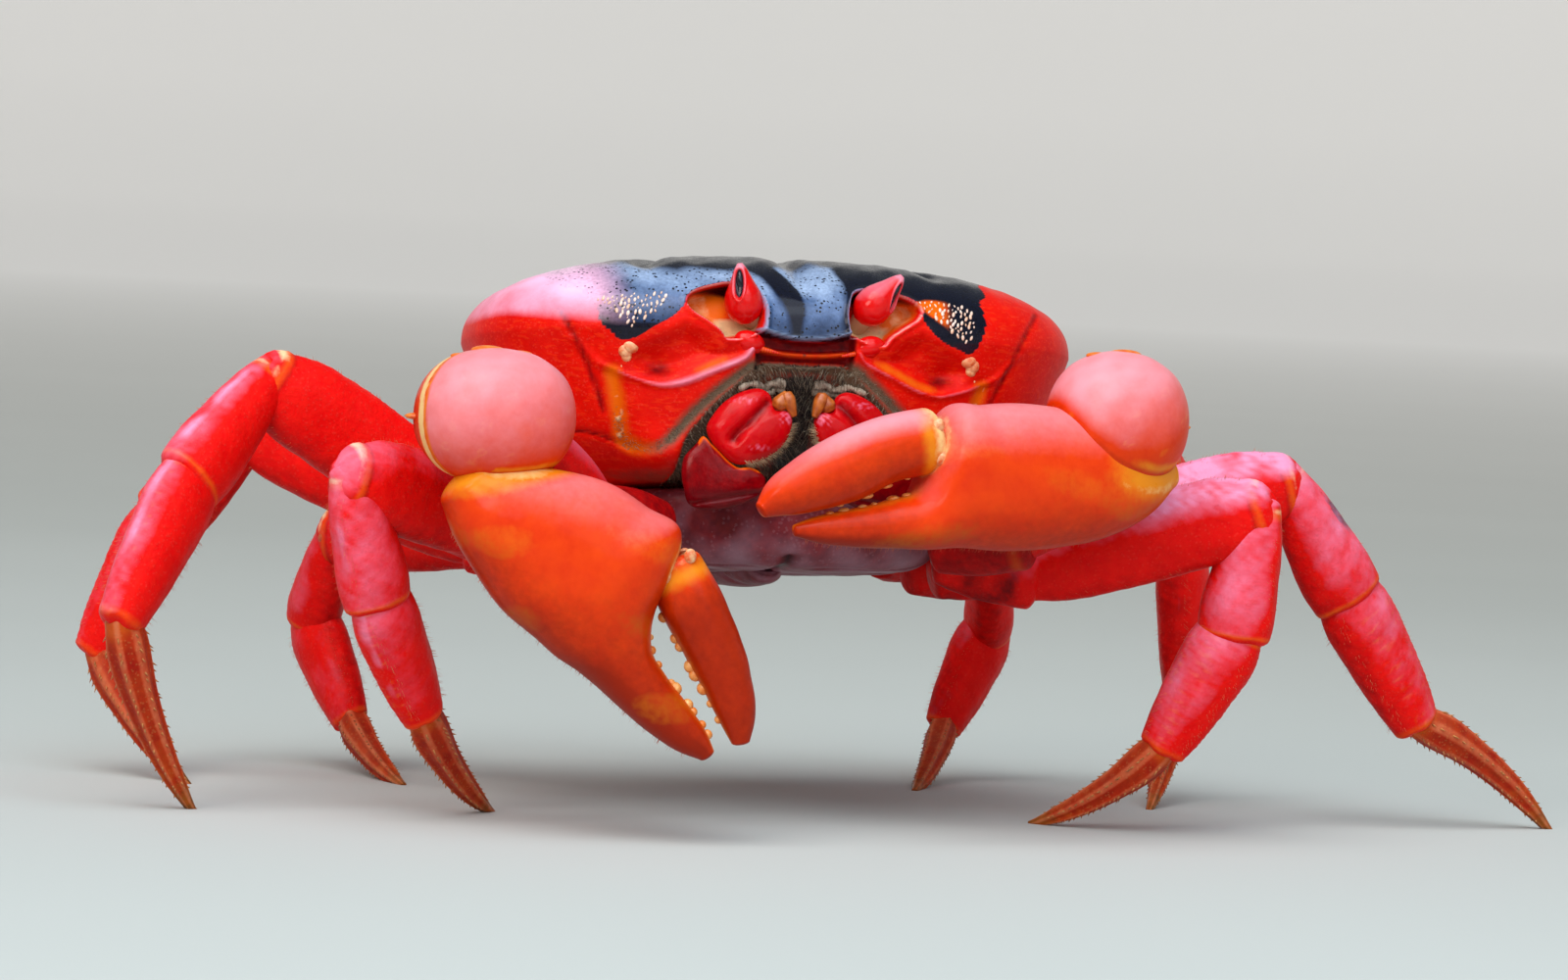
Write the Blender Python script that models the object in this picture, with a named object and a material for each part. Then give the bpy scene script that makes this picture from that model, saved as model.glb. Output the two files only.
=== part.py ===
import bpy
import bmesh
import numpy as np
from math import asin, cos, pi, radians, sin, sqrt

# Life-size red land crab, still pose, sizes in millimetres
MM = 0.001
GAP = 0.3
BODY_Z = 74.0
PITCH = radians(8)
# the whole body looks a little to its right
YAW = radians(2)
SHELL_HALF = 50.4
SHELL_TOP = 14.9
SHELL_DEEP = 24.0
WIDE_Z = 1.5
PLAN_Y = -4.0
FRONT_LEN = 31.0
REAR_LEN = 45.0
WALL_LEAN = 0.17
SHELL_RINGS = 28
SHELL_COLS = 56
FLAT_CUT = 0.0
# moves the body's centre so that the origin is under the middle of the bounding box
ORIGIN_MOVE = np.array((-17.0, -0.7, 0.0))

MATERIALS = {
    "shell_black": ((0.015, 0.02, 0.035, 1), 0.25),
    "leg_red": ((0.62, 0.03, 0.03, 1), 0.4),
    "claw_orange": ((0.72, 0.09, 0.02, 1), 0.35),
    "dactyl_brown": ((0.36, 0.09, 0.03, 1), 0.6),
    "mouth_red": ((0.5, 0.01, 0.03, 1), 0.3),
    "underside": ((0.22, 0.04, 0.06, 1), 0.5),
    "eye_red": ((0.5, 0.02, 0.04, 1), 0.2),
}


def clear_scene():
    for ob in list(bpy.data.objects):
        bpy.data.objects.remove(ob, do_unlink=True)


def make_materials():
    table = {}
    for name, (colour, rough) in MATERIALS.items():
        mat = bpy.data.materials.new(name)
        mat.use_nodes = True
        shader = mat.node_tree.nodes["Principled BSDF"]
        shader.inputs["Base Color"].default_value = colour
        shader.inputs["Roughness"].default_value = rough
        mat.diffuse_color = colour
        table[name] = mat
    return table


def unit(v):
    v = np.asarray(v, float)
    return v / np.linalg.norm(v)


def spow(x, p):
    return np.sign(x) * np.abs(x) ** p


def body_to_world(p):
    p = np.atleast_2d(np.asarray(p, float))
    c, s = cos(PITCH), sin(PITCH)
    x, y, z = p[:, 0], p[:, 1] * c + p[:, 2] * s, p[:, 2] * c - p[:, 1] * s
    return np.stack([x * cos(YAW) + y * sin(YAW), y * cos(YAW) - x * sin(YAW), z + BODY_Z], 1)


def bump(x, centre, half):
    return np.exp(-((x - centre) / half) ** 2)


def step(x, low, high):
    t = np.clip((x - low) / (high - low), 0, 1)
    return t * t * (3 - 2 * t)


# Mesh helpers
def mesh_object(name, verts, faces, mat=None):
    me = bpy.data.meshes.new(name)
    moved = (np.array(verts, float) + ORIGIN_MOVE) * MM
    me.from_pydata(moved.tolist(), [], faces)
    me.validate()
    ob = bpy.data.objects.new(name, me)
    bpy.context.scene.collection.objects.link(ob)
    if mat:
        me.materials.append(mat)
    for poly in me.polygons:
        poly.use_smooth = True
    return ob


def grid_faces(rings, cols, base=0):
    faces = []
    for i in range(rings - 1):
        for j in range(cols):
            k = (j + 1) % cols
            a, b = base + i * cols + j, base + i * cols + k
            faces.append((a, b, b + cols, a + cols))
    return faces


def face_outward(ob):
    """a closed mesh with negative signed volume has its faces turned round"""
    bm = bmesh.new()
    bm.from_mesh(ob.data)
    if bm.calc_volume(signed=True) < 0:
        bmesh.ops.reverse_faces(bm, faces=bm.faces)
        bm.to_mesh(ob.data)
    bm.free()
    return ob


def closed_loft(name, rings, mat):
    """rings: array (n, m, 3); the ends are closed with a fan to the ring centre"""
    n, m = len(rings), len(rings[0])
    verts = [tuple(p) for ring in rings for p in ring]
    faces = grid_faces(n, m)
    verts.append(tuple(np.mean(rings[0], axis=0)))
    verts.append(tuple(np.mean(rings[-1], axis=0)))
    for j in range(m):
        k = (j + 1) % m
        faces.append((n * m, k, j))
        faces.append((n * m + 1, (n - 1) * m + j, (n - 1) * m + k))
    return face_outward(mesh_object(name, verts, faces, mat))


def ring_points(centre, up_dir, side_dir, up, down, half, expo, count):
    a = np.arange(count) * 2 * pi / count
    x = half * spow(np.cos(a), 2 / expo)
    y = spow(np.sin(a), 2 / expo)
    y = np.where(y > 0, y * up, y * down)
    return centre + np.outer(x, side_dir) + np.outer(y, up_dir)


def limb_rings(a, b, up_dir, profile, grow, expo, count, bow=0.0):
    """stations (fraction, up, down, half) from a to b, domed at both ends"""
    a, b = np.asarray(a, float), np.asarray(b, float)
    axis = unit(b - a)
    length = np.linalg.norm(b - a)
    up_dir = unit(up_dir - np.dot(up_dir, axis) * axis)
    side = np.cross(axis, up_dir)
    first, last = profile[0], profile[-1]
    dome = 0.45
    rows = [(first[0] * length - dome * first[3] - grow, 0.55, first)]
    rows += [(st[0] * length, 1.0, st) for st in profile]
    rows += [(last[0] * length + dome * last[3] + grow, 0.55, last)]
    rings = []
    for dist, scale, (_, up, down, half) in rows:
        f = dist / length
        centre = a + axis * dist + up_dir * bow * length * 4 * f * (1 - f)
        sizes = [(q * scale + grow) for q in (up, down, half)]
        rings.append(ring_points(centre, up_dir, side, *sizes, expo, count))
    return np.array(rings)


def limb(name, a, b, up_dir, profile, mat, grow=0.0, expo=2.4, count=12, bow=0.0):
    rings = limb_rings(a, b, up_dir, profile, grow, expo, count, bow)
    return closed_loft(name, rings, mat)


def ellipsoid(name, centre, radii, mat, grow=0.0, axes=None, expo=2.0, rings=7, cols=12):
    axes = np.eye(3) if axes is None else np.asarray(axes, float)
    lat = np.linspace(-pi / 2, pi / 2, rings + 1)[1:-1]
    lon = np.arange(cols) * 2 * pi / cols
    r = np.asarray(radii, float) + grow
    rows = []
    for t in lat:
        x = r[0] * spow(cos(t), 2 / expo) * spow(np.cos(lon), 2 / expo)
        y = r[1] * spow(cos(t), 2 / expo) * spow(np.sin(lon), 2 / expo)
        z = np.full(cols, r[2] * spow(np.array([sin(t)]), 2 / expo)[0])
        rows.append(np.asarray(centre) + np.stack([x, y, z], 1) @ axes)
    ob = closed_loft(name, np.array(rows), mat)
    me = ob.data
    n = (rings - 1) * cols
    for index, sign in ((n, -1), (n + 1, 1)):
        me.vertices[index].co = (np.asarray(centre) + sign * r[2] * axes[2] + ORIGIN_MOVE) * MM
    return ob


def cone(name, base, direction, length, radius, mat, sides=3):
    d = unit(direction)
    side = unit(np.cross(d, (0.31, 0.52, 0.79)))
    other = np.cross(d, side)
    a = np.arange(sides) * 2 * pi / sides
    foot = np.asarray(base) - d * length * 0.35
    ring = foot + radius * (np.outer(np.cos(a), side) + np.outer(np.sin(a), other))
    verts = list(ring) + [np.asarray(base) + d * length]
    faces = [tuple(reversed(range(sides)))]
    faces += [(j, (j + 1) % sides, sides) for j in range(sides)]
    ob = face_outward(mesh_object(name, verts, faces, mat))
    for poly in ob.data.polygons:
        poly.use_smooth = False
    return ob


# Boolean helpers
def apply_modifier(ob, mod):
    depsgraph = bpy.context.evaluated_depsgraph_get()
    me = bpy.data.meshes.new_from_object(ob.evaluated_get(depsgraph))
    old = ob.data
    ob.modifiers.remove(mod)
    ob.data = me
    bpy.data.meshes.remove(old)


def keep_largest(ob):
    bm = bmesh.new()
    bm.from_mesh(ob.data)
    left = set(bm.verts)
    best = []
    while left:
        seed = left.pop()
        group, stack = [seed], [seed]
        while stack:
            for edge in stack.pop().link_edges:
                for v in edge.verts:
                    if v in left:
                        left.remove(v)
                        group.append(v)
                        stack.append(v)
        if len(group) > len(best):
            best = group
    kept = set(best)
    bmesh.ops.delete(bm, geom=[v for v in bm.verts if v not in kept], context="VERTS")
    bm.to_mesh(ob.data)
    bm.free()


def combine(ob, others, operation):
    if not others:
        return ob
    group = bpy.data.collections.new("operands")
    for other in others:
        group.objects.link(other)
    mod = ob.modifiers.new(operation, "BOOLEAN")
    mod.operation = operation
    mod.operand_type = "COLLECTION"
    mod.collection = group
    mod.solver = "MANIFOLD"
    apply_modifier(ob, mod)
    for other in list(others):
        me = other.data
        bpy.data.objects.remove(other, do_unlink=True)
        bpy.data.meshes.remove(me)
    bpy.data.collections.remove(group)
    keep_largest(ob)
    return ob


def cut_flat(ob, level):
    """level floor contact: everything below the level is cut off and the hole is filled"""
    bm = bmesh.new()
    bm.from_mesh(ob.data)
    geom = list(bm.verts) + list(bm.edges) + list(bm.faces)
    found = bmesh.ops.bisect_plane(bm, geom=geom, plane_co=(0, 0, level * MM),
                                   plane_no=(0, 0, 1), clear_inner=True, dist=1e-7)
    edges = [e for e in found["geom_cut"] if isinstance(e, bmesh.types.BMEdge)]
    bmesh.ops.holes_fill(bm, edges=edges)
    bmesh.ops.triangulate(bm, faces=[f for f in bm.faces if len(f.verts) > 4])
    bm.to_mesh(ob.data)
    bm.free()


# Carapace
ORBIT_X, ORBIT_Z, ORBIT_RX, ORBIT_RZ, ORBIT_DEEP = 13.0, 4.8, 6.6, 5.4, 5.0
BASIN_X, BASIN_Z, BASIN_RX, BASIN_RZ, BASIN_DEEP = 20.0, -2.4, 8.0, 2.6, 1.6
MOUTH_TOP, MOUTH_LOW, MOUTH_HALF, MOUTH_DEEP = -3.5, -26.0, 20.5, 4.0
FRONT_HALF, FRONT_EDGE, FRONT_OUT, UNDER_FRONT = 7.4, 0.8, 1.0, 2.2
CERVICAL_DEEP, MEDIAN_DEEP = 1.1, 1.0


def plan_radius(phi):
    """distance from the plan centre to the widest outline; phi = 0 looks forward"""
    fx, fy = np.sin(phi), np.cos(phi)
    front = np.cos(phi) > 0
    depth = np.where(front, FRONT_LEN, REAR_LEN)
    p = np.where(front, 2.6, 1.95)
    return (np.abs(fx / SHELL_HALF) ** p + np.abs(fy / depth) ** p) ** (-1 / p)


def shell_surface(phi, tilt):
    r = plan_radius(phi)
    up = np.sin(tilt) > 0
    n = np.where(up, 2.4, 6.0)
    c, s = np.cos(tilt), np.abs(np.sin(tilt))
    q = (c ** n + s ** n) ** (-1 / n)
    out, rise = q * c, q * s
    out = out * np.where(up, 1, 1 - WALL_LEAN * rise)
    z = WIDE_Z + np.where(up, SHELL_TOP * rise, -SHELL_DEEP * rise)
    x = r * np.sin(phi) * out
    y = PLAN_Y - r * np.cos(phi) * out
    return x, y, z


def face_relief(x, z):
    """how far the face is pushed back, in mm, as a function of height and width"""
    ax = np.abs(x)
    e = ((ax - ORBIT_X) / ORBIT_RX) ** 2 + ((z - ORBIT_Z) / ORBIT_RZ) ** 2
    push = ORBIT_DEEP * (1 - step(e, 0.45, 1.15))
    e = ((ax - BASIN_X) / BASIN_RX) ** 2 + ((z - BASIN_Z) / BASIN_RZ) ** 2
    push = push + BASIN_DEEP * (1 - step(e, 0.3, 1.2))
    half = 8.0 + (MOUTH_HALF - 8.0) * step(-z, -MOUTH_TOP, 15.0)
    inside = step(half - ax, 0, 1.6) * step(-z, -MOUTH_TOP - 0.5, -MOUTH_TOP + 1.5)
    push = push + MOUTH_DEEP * inside
    under = step(FRONT_HALF + 1.5 - ax, 0, 1.5) * step(FRONT_EDGE - z, 0, 1.2) * (1 - inside)
    push = push + UNDER_FRONT * under
    lobe = step(FRONT_HALF + 1.0 - ax, 0, 2.0) * step(z, FRONT_EDGE - 0.6, FRONT_EDGE + 0.6)
    push = push - FRONT_OUT * lobe * (1 - step(z, 5, 12))
    return push


def top_relief(x, y):
    """grooves of the back: the median one at the front and the cervical pair"""
    ax = np.abs(x)
    median = MEDIAN_DEEP * bump(x, 0, 2.2) * (1 - step(y, -14, -4))
    line = 12.0 + 12.0 * step(-y, -4, 22)
    cervical = CERVICAL_DEEP * bump(ax, line, 2.6) * step(y, -27, -20) * (1 - step(y, 6, 12))
    cardiac = 0.8 * bump(ax, 11.5, 2.4) * step(y, 6, 12) * (1 - step(y, 26, 34))
    return median + cervical + cardiac


def build_carapace(mats):
    j = np.arange(SHELL_COLS) / SHELL_COLS * 2 * pi
    phi = j - 0.42 * np.sin(j)
    tilt = np.linspace(pi / 2, -pi / 2, SHELL_RINGS + 1)[1:-1]
    rows = []
    for t in tilt:
        x, y, z = shell_surface(phi, np.full_like(phi, t))
        ahead = step(-y, 14, 22)
        y = y + ahead * face_relief(x, z)
        z = z - step(z, 6, 10) * top_relief(x, y)
        rows.append(body_to_world(np.stack([x, y, z], 1)))
    return closed_loft("carapace", np.array(rows), mats["shell_black"])


# Underside
STERNUM_HALF, STERNUM_LEN, STERNUM_Y = 31.0, 28.0, 3.0
STERNUM_TOP = WIDE_Z - SHELL_DEEP - GAP
# levels of the sternum: height at the front, height at the back, width and length factors
STERNUM_LEVELS = ((STERNUM_TOP, STERNUM_TOP, 0.86, 0.9), (-24.2, -24.2, 0.98, 1.0),
                  (-31.0, -29.5, 0.95, 0.98), (-34.6, -31.6, 0.84, 0.88), (-35.6, -32.6, 0.62, 0.7))


def build_sternum(mats):
    a = np.arange(24) * 2 * pi / 24
    rows = []
    for front, back, fx, fy in STERNUM_LEVELS:
        x = STERNUM_HALF * fx * spow(np.sin(a), 2 / 2.8)
        along = fy * spow(-np.cos(a), 2 / 2.8)
        y = STERNUM_Y + STERNUM_LEN * along
        z = front + (back - front) * (along + 1) / 2
        rows.append(body_to_world(np.stack([x, y, z], 1)))
    return closed_loft("sternum", np.array(rows), mats["underside"])


# middle line of the folded abdomen: how far back, height, half width
PLEON_LINE = ((41.2, -5.0, 15.0), (40.6, -11.0, 14.0), (38.6, -18.0, 12.0), (34.4, -25.0, 10.5),
              (30.0, -30.4, 9.5), (24.0, -33.4, 8.6), (12.0, -34.9, 6.8), (0.0, -35.5, 4.8),
              (-9.0, -35.6, 2.6))
PLEON_THICK = 1.2


def build_pleon(mats, grow=0.0):
    """male abdomen: a tapering plate folded down the back and under the sternum"""
    line = np.array(PLEON_LINE)
    centre = np.stack([np.zeros(len(line)), line[:, 0], line[:, 1]], 1)
    run = np.gradient(centre, axis=0)
    across = body_to_world((1, 0, 0))[0] - body_to_world((0, 0, 0))[0]
    rings = []
    for c, d, half in zip(centre, run, line[:, 2]):
        d = unit(d)
        away = np.array((0.0, d[2], -d[1])) * -1
        flat = body_to_world(away)[0] - body_to_world((0, 0, 0))[0]
        mid = body_to_world(c)[0]
        sizes = (PLEON_THICK + grow, PLEON_THICK + grow, half + grow)
        rings.append(ring_points(mid, flat, across, *sizes, 2.6, 12))
    ends = []
    for near, far in ((0, 1), (-1, -2)):
        d = unit(rings[near].mean(0) - rings[far].mean(0))
        mid = rings[near].mean(0)
        ends.append(mid + (rings[near] - mid) * 0.8 + d * (0.7 + grow))
    rings = [ends[0]] + rings + [ends[1]]
    return closed_loft("pleon", np.array(rings), mats["underside"])


# Face pieces
def build_maxilliped(name, side, mats, grow=0.0):
    c = body_to_world((side * 9.5, -31.6, -13.2))[0]
    turn = side * radians(24)
    axes = [(cos(turn), 0, sin(turn)), (0, 1, 0), (-sin(turn), 0, cos(turn))]
    oval = ellipsoid(name, c, (4.9, 2.6, 6.3), mats["mouth_red"], grow, axes)
    low = body_to_world((side * 13.2, -30.0, -21.0))[0]
    plate = ellipsoid(name + "_low", low, (7.4, 2.4, 5.6), None, grow, axes, 2.6)
    palp_a = body_to_world((side * 4.6, -32.6, -8.4))[0]
    palp_b = body_to_world((side * 2.6, -33.4, -12.0))[0]
    prof = ((0, 1.1, 1.1, 1.1), (0.5, 1.2, 1.2, 1.1), (1.0, 0.7, 0.7, 0.7))
    palp = limb(name + "_palp", palp_a, palp_b, (0, -1, 0.2), prof, None, grow)
    return combine(oval, [plate, palp], "UNION")


EYES = {
    "L": ((8.6, -29.0, 3.0), (10.5, -32.4, 6.4), (15.1, -33.8, 11.6)),
    "R": ((-7.2, -29.0, 3.0), (-10.8, -32.6, 5.9), (-11.8, -33.6, 12.4)),
}


# fraction of the way from the bulb's middle to the tip, and radius there
EYE_RADII = ((-0.3, 2.2), (-0.1, 2.95), (0.1, 3.1), (0.35, 2.6), (0.6, 1.75), (0.92, 0.85))


def build_eye(side, mats, grow=0.0):
    root, bulb, tip = (body_to_world(p)[0] for p in EYES[side])
    axis = tip - bulb
    prof = [(f, r, r, r) for f, r in EYE_RADII]
    ball = limb("eye_" + side, bulb, bulb + axis, (0, -1, 0), prof, mats["eye_red"], grow, 2.0)
    prof = ((0, 1.5, 1.5, 1.5), (1.0, 1.6, 1.6, 1.6))
    stalk = limb("stalk_" + side, root, bulb, (0, -1, 0.3), prof, None, grow, 2.0)
    return combine(ball, [stalk], "UNION")


def build_antenna(side_name, side, mats, grow=0.0):
    c = body_to_world((side * 9.6, -33.2, -0.4))[0]
    lobe = ellipsoid("antenna_" + side_name, c, (3.2, 1.9, 1.7), mats["mouth_red"], grow)
    root = body_to_world((side * 7.6, -33.6, -1.0))[0]
    tip = body_to_world((side * 6.4, -34.4, -2.6))[0]
    prof = ((0, 0.6, 0.6, 0.6), (0.6, 0.45, 0.45, 0.45), (1.0, 0.3, 0.3, 0.3))
    flagellum = limb("flagellum_" + side_name, root, tip, (0, -1, 0.2), prof, None, grow, 2.0, 8)
    return combine(lobe, [flagellum], "UNION")


# Walking legs: coxa with ischium, merus, carpus, propodus and dactylus lengths
LEG_LENGTHS = {
    "P2": (13, 39, 20, 22, 28),
    "P3": (14, 46, 22, 26, 35),
    "P4": (14, 42, 21, 25, 29),
    "P5": (12, 37, 16, 19, 24),
}
LEG_ROOTS = {"P2": (30, -13, -32), "P3": (32, -3, -33), "P4": (31, 8, -32), "P5": (27, 18, -29)}
LEG_SIZE = {"P2": 0.95, "P3": 1.0, "P4": 0.95, "P5": 0.88}
# headings of coxa and merus, carpus, propodus, dactylus; then pitches of the first four
LEG_POSE = {
    "R2": ((26, 30, 36, 44), (3, 15, -109, -123)),
    "R3": ((6, 31, 34, 31), (6, 33, -44, -58)),
    "R4": ((-23, -24, -23, -50), (3, 24, -47, -65)),
    "R5": ((-48, -70, -60, -77), (-1, -4, -68, -124)),
    "L2": ((20, 30, 30, 45), (-12, 20, -97, -118)),
    "L3": ((3, -5, -9, -13), (9, 18, -54, -55)),
    "L4": ((-21, -50, -46, -58), (1, 27, -50, -83)),
    "L5": ((-50, -70, -20, -60), (-1, -4, -53, -117)),
}
TIP_OUT = ("L3",)
COXA = ((-0.1, 5.0, 5.0, 3.9), (0.35, 5.8, 5.8, 4.4), (0.8, 5.6, 5.6, 4.3), (1.06, 5.2, 5.2, 4.1))
MERUS = ((0.0, 4.2, 4.0, 3.0), (0.12, 6.0, 5.4, 3.9), (0.4, 7.6, 6.6, 4.4),
         (0.75, 7.6, 7.2, 4.5), (0.93, 6.4, 7.4, 4.5), (1.04, 4.6, 6.8, 4.2))
CARPUS = ((0.0, 3.2, 2.9, 2.5), (0.18, 4.7, 3.9, 3.5), (0.52, 6.1, 5.5, 4.4),
          (0.88, 6.5, 6.4, 4.8), (1.03, 6.2, 6.2, 4.5))
PROPODUS = ((0.0, 5.3, 5.3, 3.8), (0.12, 6.1, 6.1, 4.3), (0.5, 5.9, 5.9, 4.2),
            (0.85, 4.9, 5.0, 3.6), (1.03, 4.0, 4.2, 3.1))
DACTYLUS = ((0.0, 2.9, 2.9, 2.4), (0.12, 3.3, 3.3, 2.8), (0.4, 2.6, 2.6, 2.3),
            (0.7, 1.85, 1.85, 1.65), (0.9, 1.15, 1.15, 1.05), (1.02, 0.7, 0.7, 0.65))
SEGMENTS = (("coxa", COXA), ("merus", MERUS), ("carpus", CARPUS), ("propodus", PROPODUS),
            ("dactylus", DACTYLUS))
SEGMENT_SIDES = {"coxa": 8, "merus": 12, "carpus": 10, "propodus": 10, "dactylus": 8}
SPINE_ROWS, SPINES_PER_ROW, SPINE_LEN = 4, 5, 1.0


def leg_joints(key):
    """six joint points of a leg and the upper direction of each of its five segments"""
    side = 1 if key[0] == "L" else -1
    name = "P" + key[1]
    heads, pitches = LEG_POSE[key]
    lengths = LEG_LENGTHS[name]
    root = np.array(LEG_ROOTS[name], float)
    root[0] *= side
    points, ups = [body_to_world(root)[0]], []
    heads = (heads[0],) + heads
    for i in range(5):
        h = radians(heads[i])
        if i < 4:
            p = radians(pitches[i])
        else:
            p = -asin(min(1, points[-1][2] / lengths[4]))
            p = p if key in TIP_OUT else -pi - p
        d = np.array([side * cos(h) * cos(p), -sin(h) * cos(p), sin(p)])
        u = np.array([-side * cos(h) * sin(p), sin(h) * sin(p), cos(p)])
        points.append(points[-1] + lengths[i] * d)
        ups.append(u)
    return points, ups


def spines(name, a, b, up, size):
    """short spines in rows along the dactylus, as closed cones to be fused on"""
    a, b = np.asarray(a), np.asarray(b)
    axis = unit(b - a)
    length = np.linalg.norm(b - a)
    up = unit(up - np.dot(up, axis) * axis)
    side = np.cross(axis, up)
    fr = [st[0] for st in DACTYLUS]
    out = []
    for row in range(SPINE_ROWS):
        angle = radians(45 + 90 * row)
        radial = cos(angle) * side + sin(angle) * up
        for k in range(SPINES_PER_ROW):
            f = 0.2 + 0.66 * k / (SPINES_PER_ROW - 1)
            r = np.interp(f, fr, [0.5 * (st[1] + st[3]) for st in DACTYLUS]) * size
            base = a + axis * f * length + radial * r * 0.92
            base = base + up * BOW * length * 4 * f * (1 - f)
            out.append(cone(f"{name}_sp{row}_{k}", base, radial + axis * 0.7,
                            SPINE_LEN * size, 0.5 * size, None))
    return out


BOW = 0.055


def build_leg(key, mats):
    points, ups = leg_joints(key)
    size = LEG_SIZE["P" + key[1]]
    nodes = []
    for i, (seg, profile) in enumerate(SEGMENTS):
        prof = tuple((s, u * size, d * size, t * size) for s, u, d, t in profile)
        mat = mats["dactyl_brown"] if seg == "dactylus" else mats["leg_red"]
        bow = BOW if seg == "dactylus" else 0.0
        args = (points[i], points[i + 1], ups[i], prof)
        shape = {"bow": bow, "count": SEGMENT_SIDES[seg]}
        ob = limb(f"leg_{key}_{seg}", *args, mat, **shape)
        nodes.append((ob, args, shape))
    for i in range(4):
        child = nodes[i + 1]
        cutter = limb("cutter", *child[1], None, grow=GAP, **child[2])
        combine(nodes[i][0], [cutter], "DIFFERENCE")
    tip = nodes[4][0]
    combine(tip, spines(tip.name, points[4], points[5], ups[4], size), "UNION")
    cut_flat(tip, FLAT_CUT)
    return [n[0] for n in nodes]


def leg_root_cutters(key):
    points, ups = leg_joints(key)
    size = LEG_SIZE["P" + key[1]]
    prof = tuple((s, u * size, d * size, t * size) for s, u, d, t in COXA)
    sides = SEGMENT_SIDES["coxa"]
    return [limb("cutter", points[0], points[1], ups[0], prof, None, grow=GAP, count=sides)]


# Chelipeds: joints in world millimetres, palm outlines along the palm's own axis
CLAWS = {
    "R": {
        "root": (-25.0, -29.0, 47.5), "ischium": (-35.5, -36.0, 49.0),
        "merus": (-57.5, -40.0, 64.0), "ball": (-56.2, -49.0, 65.5), "radii": (12.6, 10.6, 10.6),
        "wrist": (-52.2, -51.0, 55.8), "tip": (-19.8, -58.0, 14.8), "finger_side": (0.8, -0.1, 0.5),
        "palm": ((-4.0, -6.4, 5.6, 6.2), (1.0, -4.3, 9.0, 8.0), (8.0, -1.8, 12.4, 9.2),
                 (15.0, -0.2, 13.8, 9.6), (21.5, 1.5, 14.0, 9.2), (25.5, -0.2, 11.4, 8.0),
                 (29.0, -2.7, 7.6, 6.6), (33.0, -4.0, 5.3, 5.4), (38.0, -3.9, 4.4, 4.6),
                 (44.0, -3.2, 3.7, 3.7), (49.0, -2.3, 2.6, 2.6), (51.8, -1.7, 1.3, 1.3)),
        "finger": ((25.2, 11.6, 4.4, 4.4), (31.0, 10.4, 4.9, 4.8), (38.0, 9.2, 4.6, 4.3),
                   (44.5, 7.6, 3.9, 3.5), (50.0, 5.6, 2.9, 2.6), (53.4, 3.8, 1.5, 1.3)),
        "teeth": (34.0, 49.0),
    },
    "L": {
        "root": (25.0, -29.0, 47.5), "ischium": (35.0, -35.5, 49.5),
        "merus": (55.0, -38.0, 67.5), "ball": (46.8, -47.0, 68.8), "radii": (11.4, 10.4, 11.2),
        "wrist": (51.1, -46.0, 59.1), "tip": (-9.9, -54.0, 49.9), "finger_side": (0.0, 0.0, 1.0),
        "palm": ((-5.0, 0.8, 2.6, 4.6), (-1.0, 0.7, 5.6, 7.0), (3.0, 1.1, 8.0, 8.4),
                 (8.0, 1.7, 10.0, 9.2), (16.0, 2.8, 11.4, 9.5), (26.0, 3.8, 11.7, 9.2),
                 (33.0, 4.2, 10.8, 8.4), (38.5, -1.0, 5.2, 6.6), (44.0, -1.4, 3.9, 4.8),
                 (51.0, -1.2, 3.0, 3.4), (57.0, -0.8, 2.0, 2.2), (60.3, -0.5, 1.0, 1.0)),
        "finger": ((36.2, 10.9, 5.2, 4.8), (44.0, 10.3, 5.3, 5.0), (51.0, 8.3, 5.4, 4.8),
                   (58.0, 6.4, 4.4, 4.0), (63.0, 4.8, 2.9, 2.8), (65.6, 3.5, 1.4, 1.4)),
        "teeth": (41.0, 47.5),
    },
}
TEETH = 6
CLAW_COXA = ((-0.1, 5.2, 5.2, 4.2), (0.4, 6.2, 6.2, 5.2), (1.05, 6.0, 6.0, 5.0))
CLAW_MERUS = ((0.0, 4.8, 4.8, 3.9), (0.25, 7.0, 6.6, 5.4), (0.65, 8.0, 7.6, 6.2), (0.98, 8.2, 7.8, 6.4))


def claw_frame(claw):
    a, b = np.array(claw["wrist"]), np.array(claw["tip"])
    axis = unit(b - a)
    up = np.array(claw["finger_side"])
    up = unit(up - np.dot(up, axis) * axis)
    return a, axis, up, np.cross(axis, up)


def claw_loft(name, claw, stations, mat, grow=0.0, follow=False, count=14):
    """closed loft on stations (along, height, half height, half thickness)"""
    origin, axis, up, side = claw_frame(claw)
    st = np.array(stations, float)
    slope = np.gradient(st[:, 1], st[:, 0]) if follow else np.zeros(len(st))
    along = [unit(axis + up * k) for k in slope]
    rows = [(st[0], -1, 0.6)] + [(s, 0, 1.0) for s in st] + [(st[-1], 1, 0.5)]
    along = [along[0]] + along + [along[-1]]
    rings = []
    for (s, end, scale), d in zip(rows, along):
        lift = np.cross(side, d)
        centre = origin + axis * s[0] + up * s[1] + d * end * (0.45 * min(s[2], s[3]) + grow)
        sizes = (s[2] * scale + grow, s[2] * scale + grow, s[3] * scale + grow)
        rings.append(ring_points(centre, lift, side, *sizes, 2.3, count))
    return closed_loft(name, np.array(rings), mat)


def tooth_row(name, claw, stations, sign):
    """low cones along the biting edge of a finger"""
    origin, axis, up, side = claw_frame(claw)
    st = np.array(stations, float)
    lo, hi = claw["teeth"]
    out = []
    for k in range(TEETH):
        s = lo + (hi - lo) * k / (TEETH - 1)
        h = np.interp(s, st[:, 0], st[:, 1] + sign * st[:, 2] * 0.94)
        base = origin + axis * s + up * h
        out.append(cone(f"{name}_tooth{k}", base, up * sign, 0.9, 0.9, None, 5))
    return out


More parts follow.
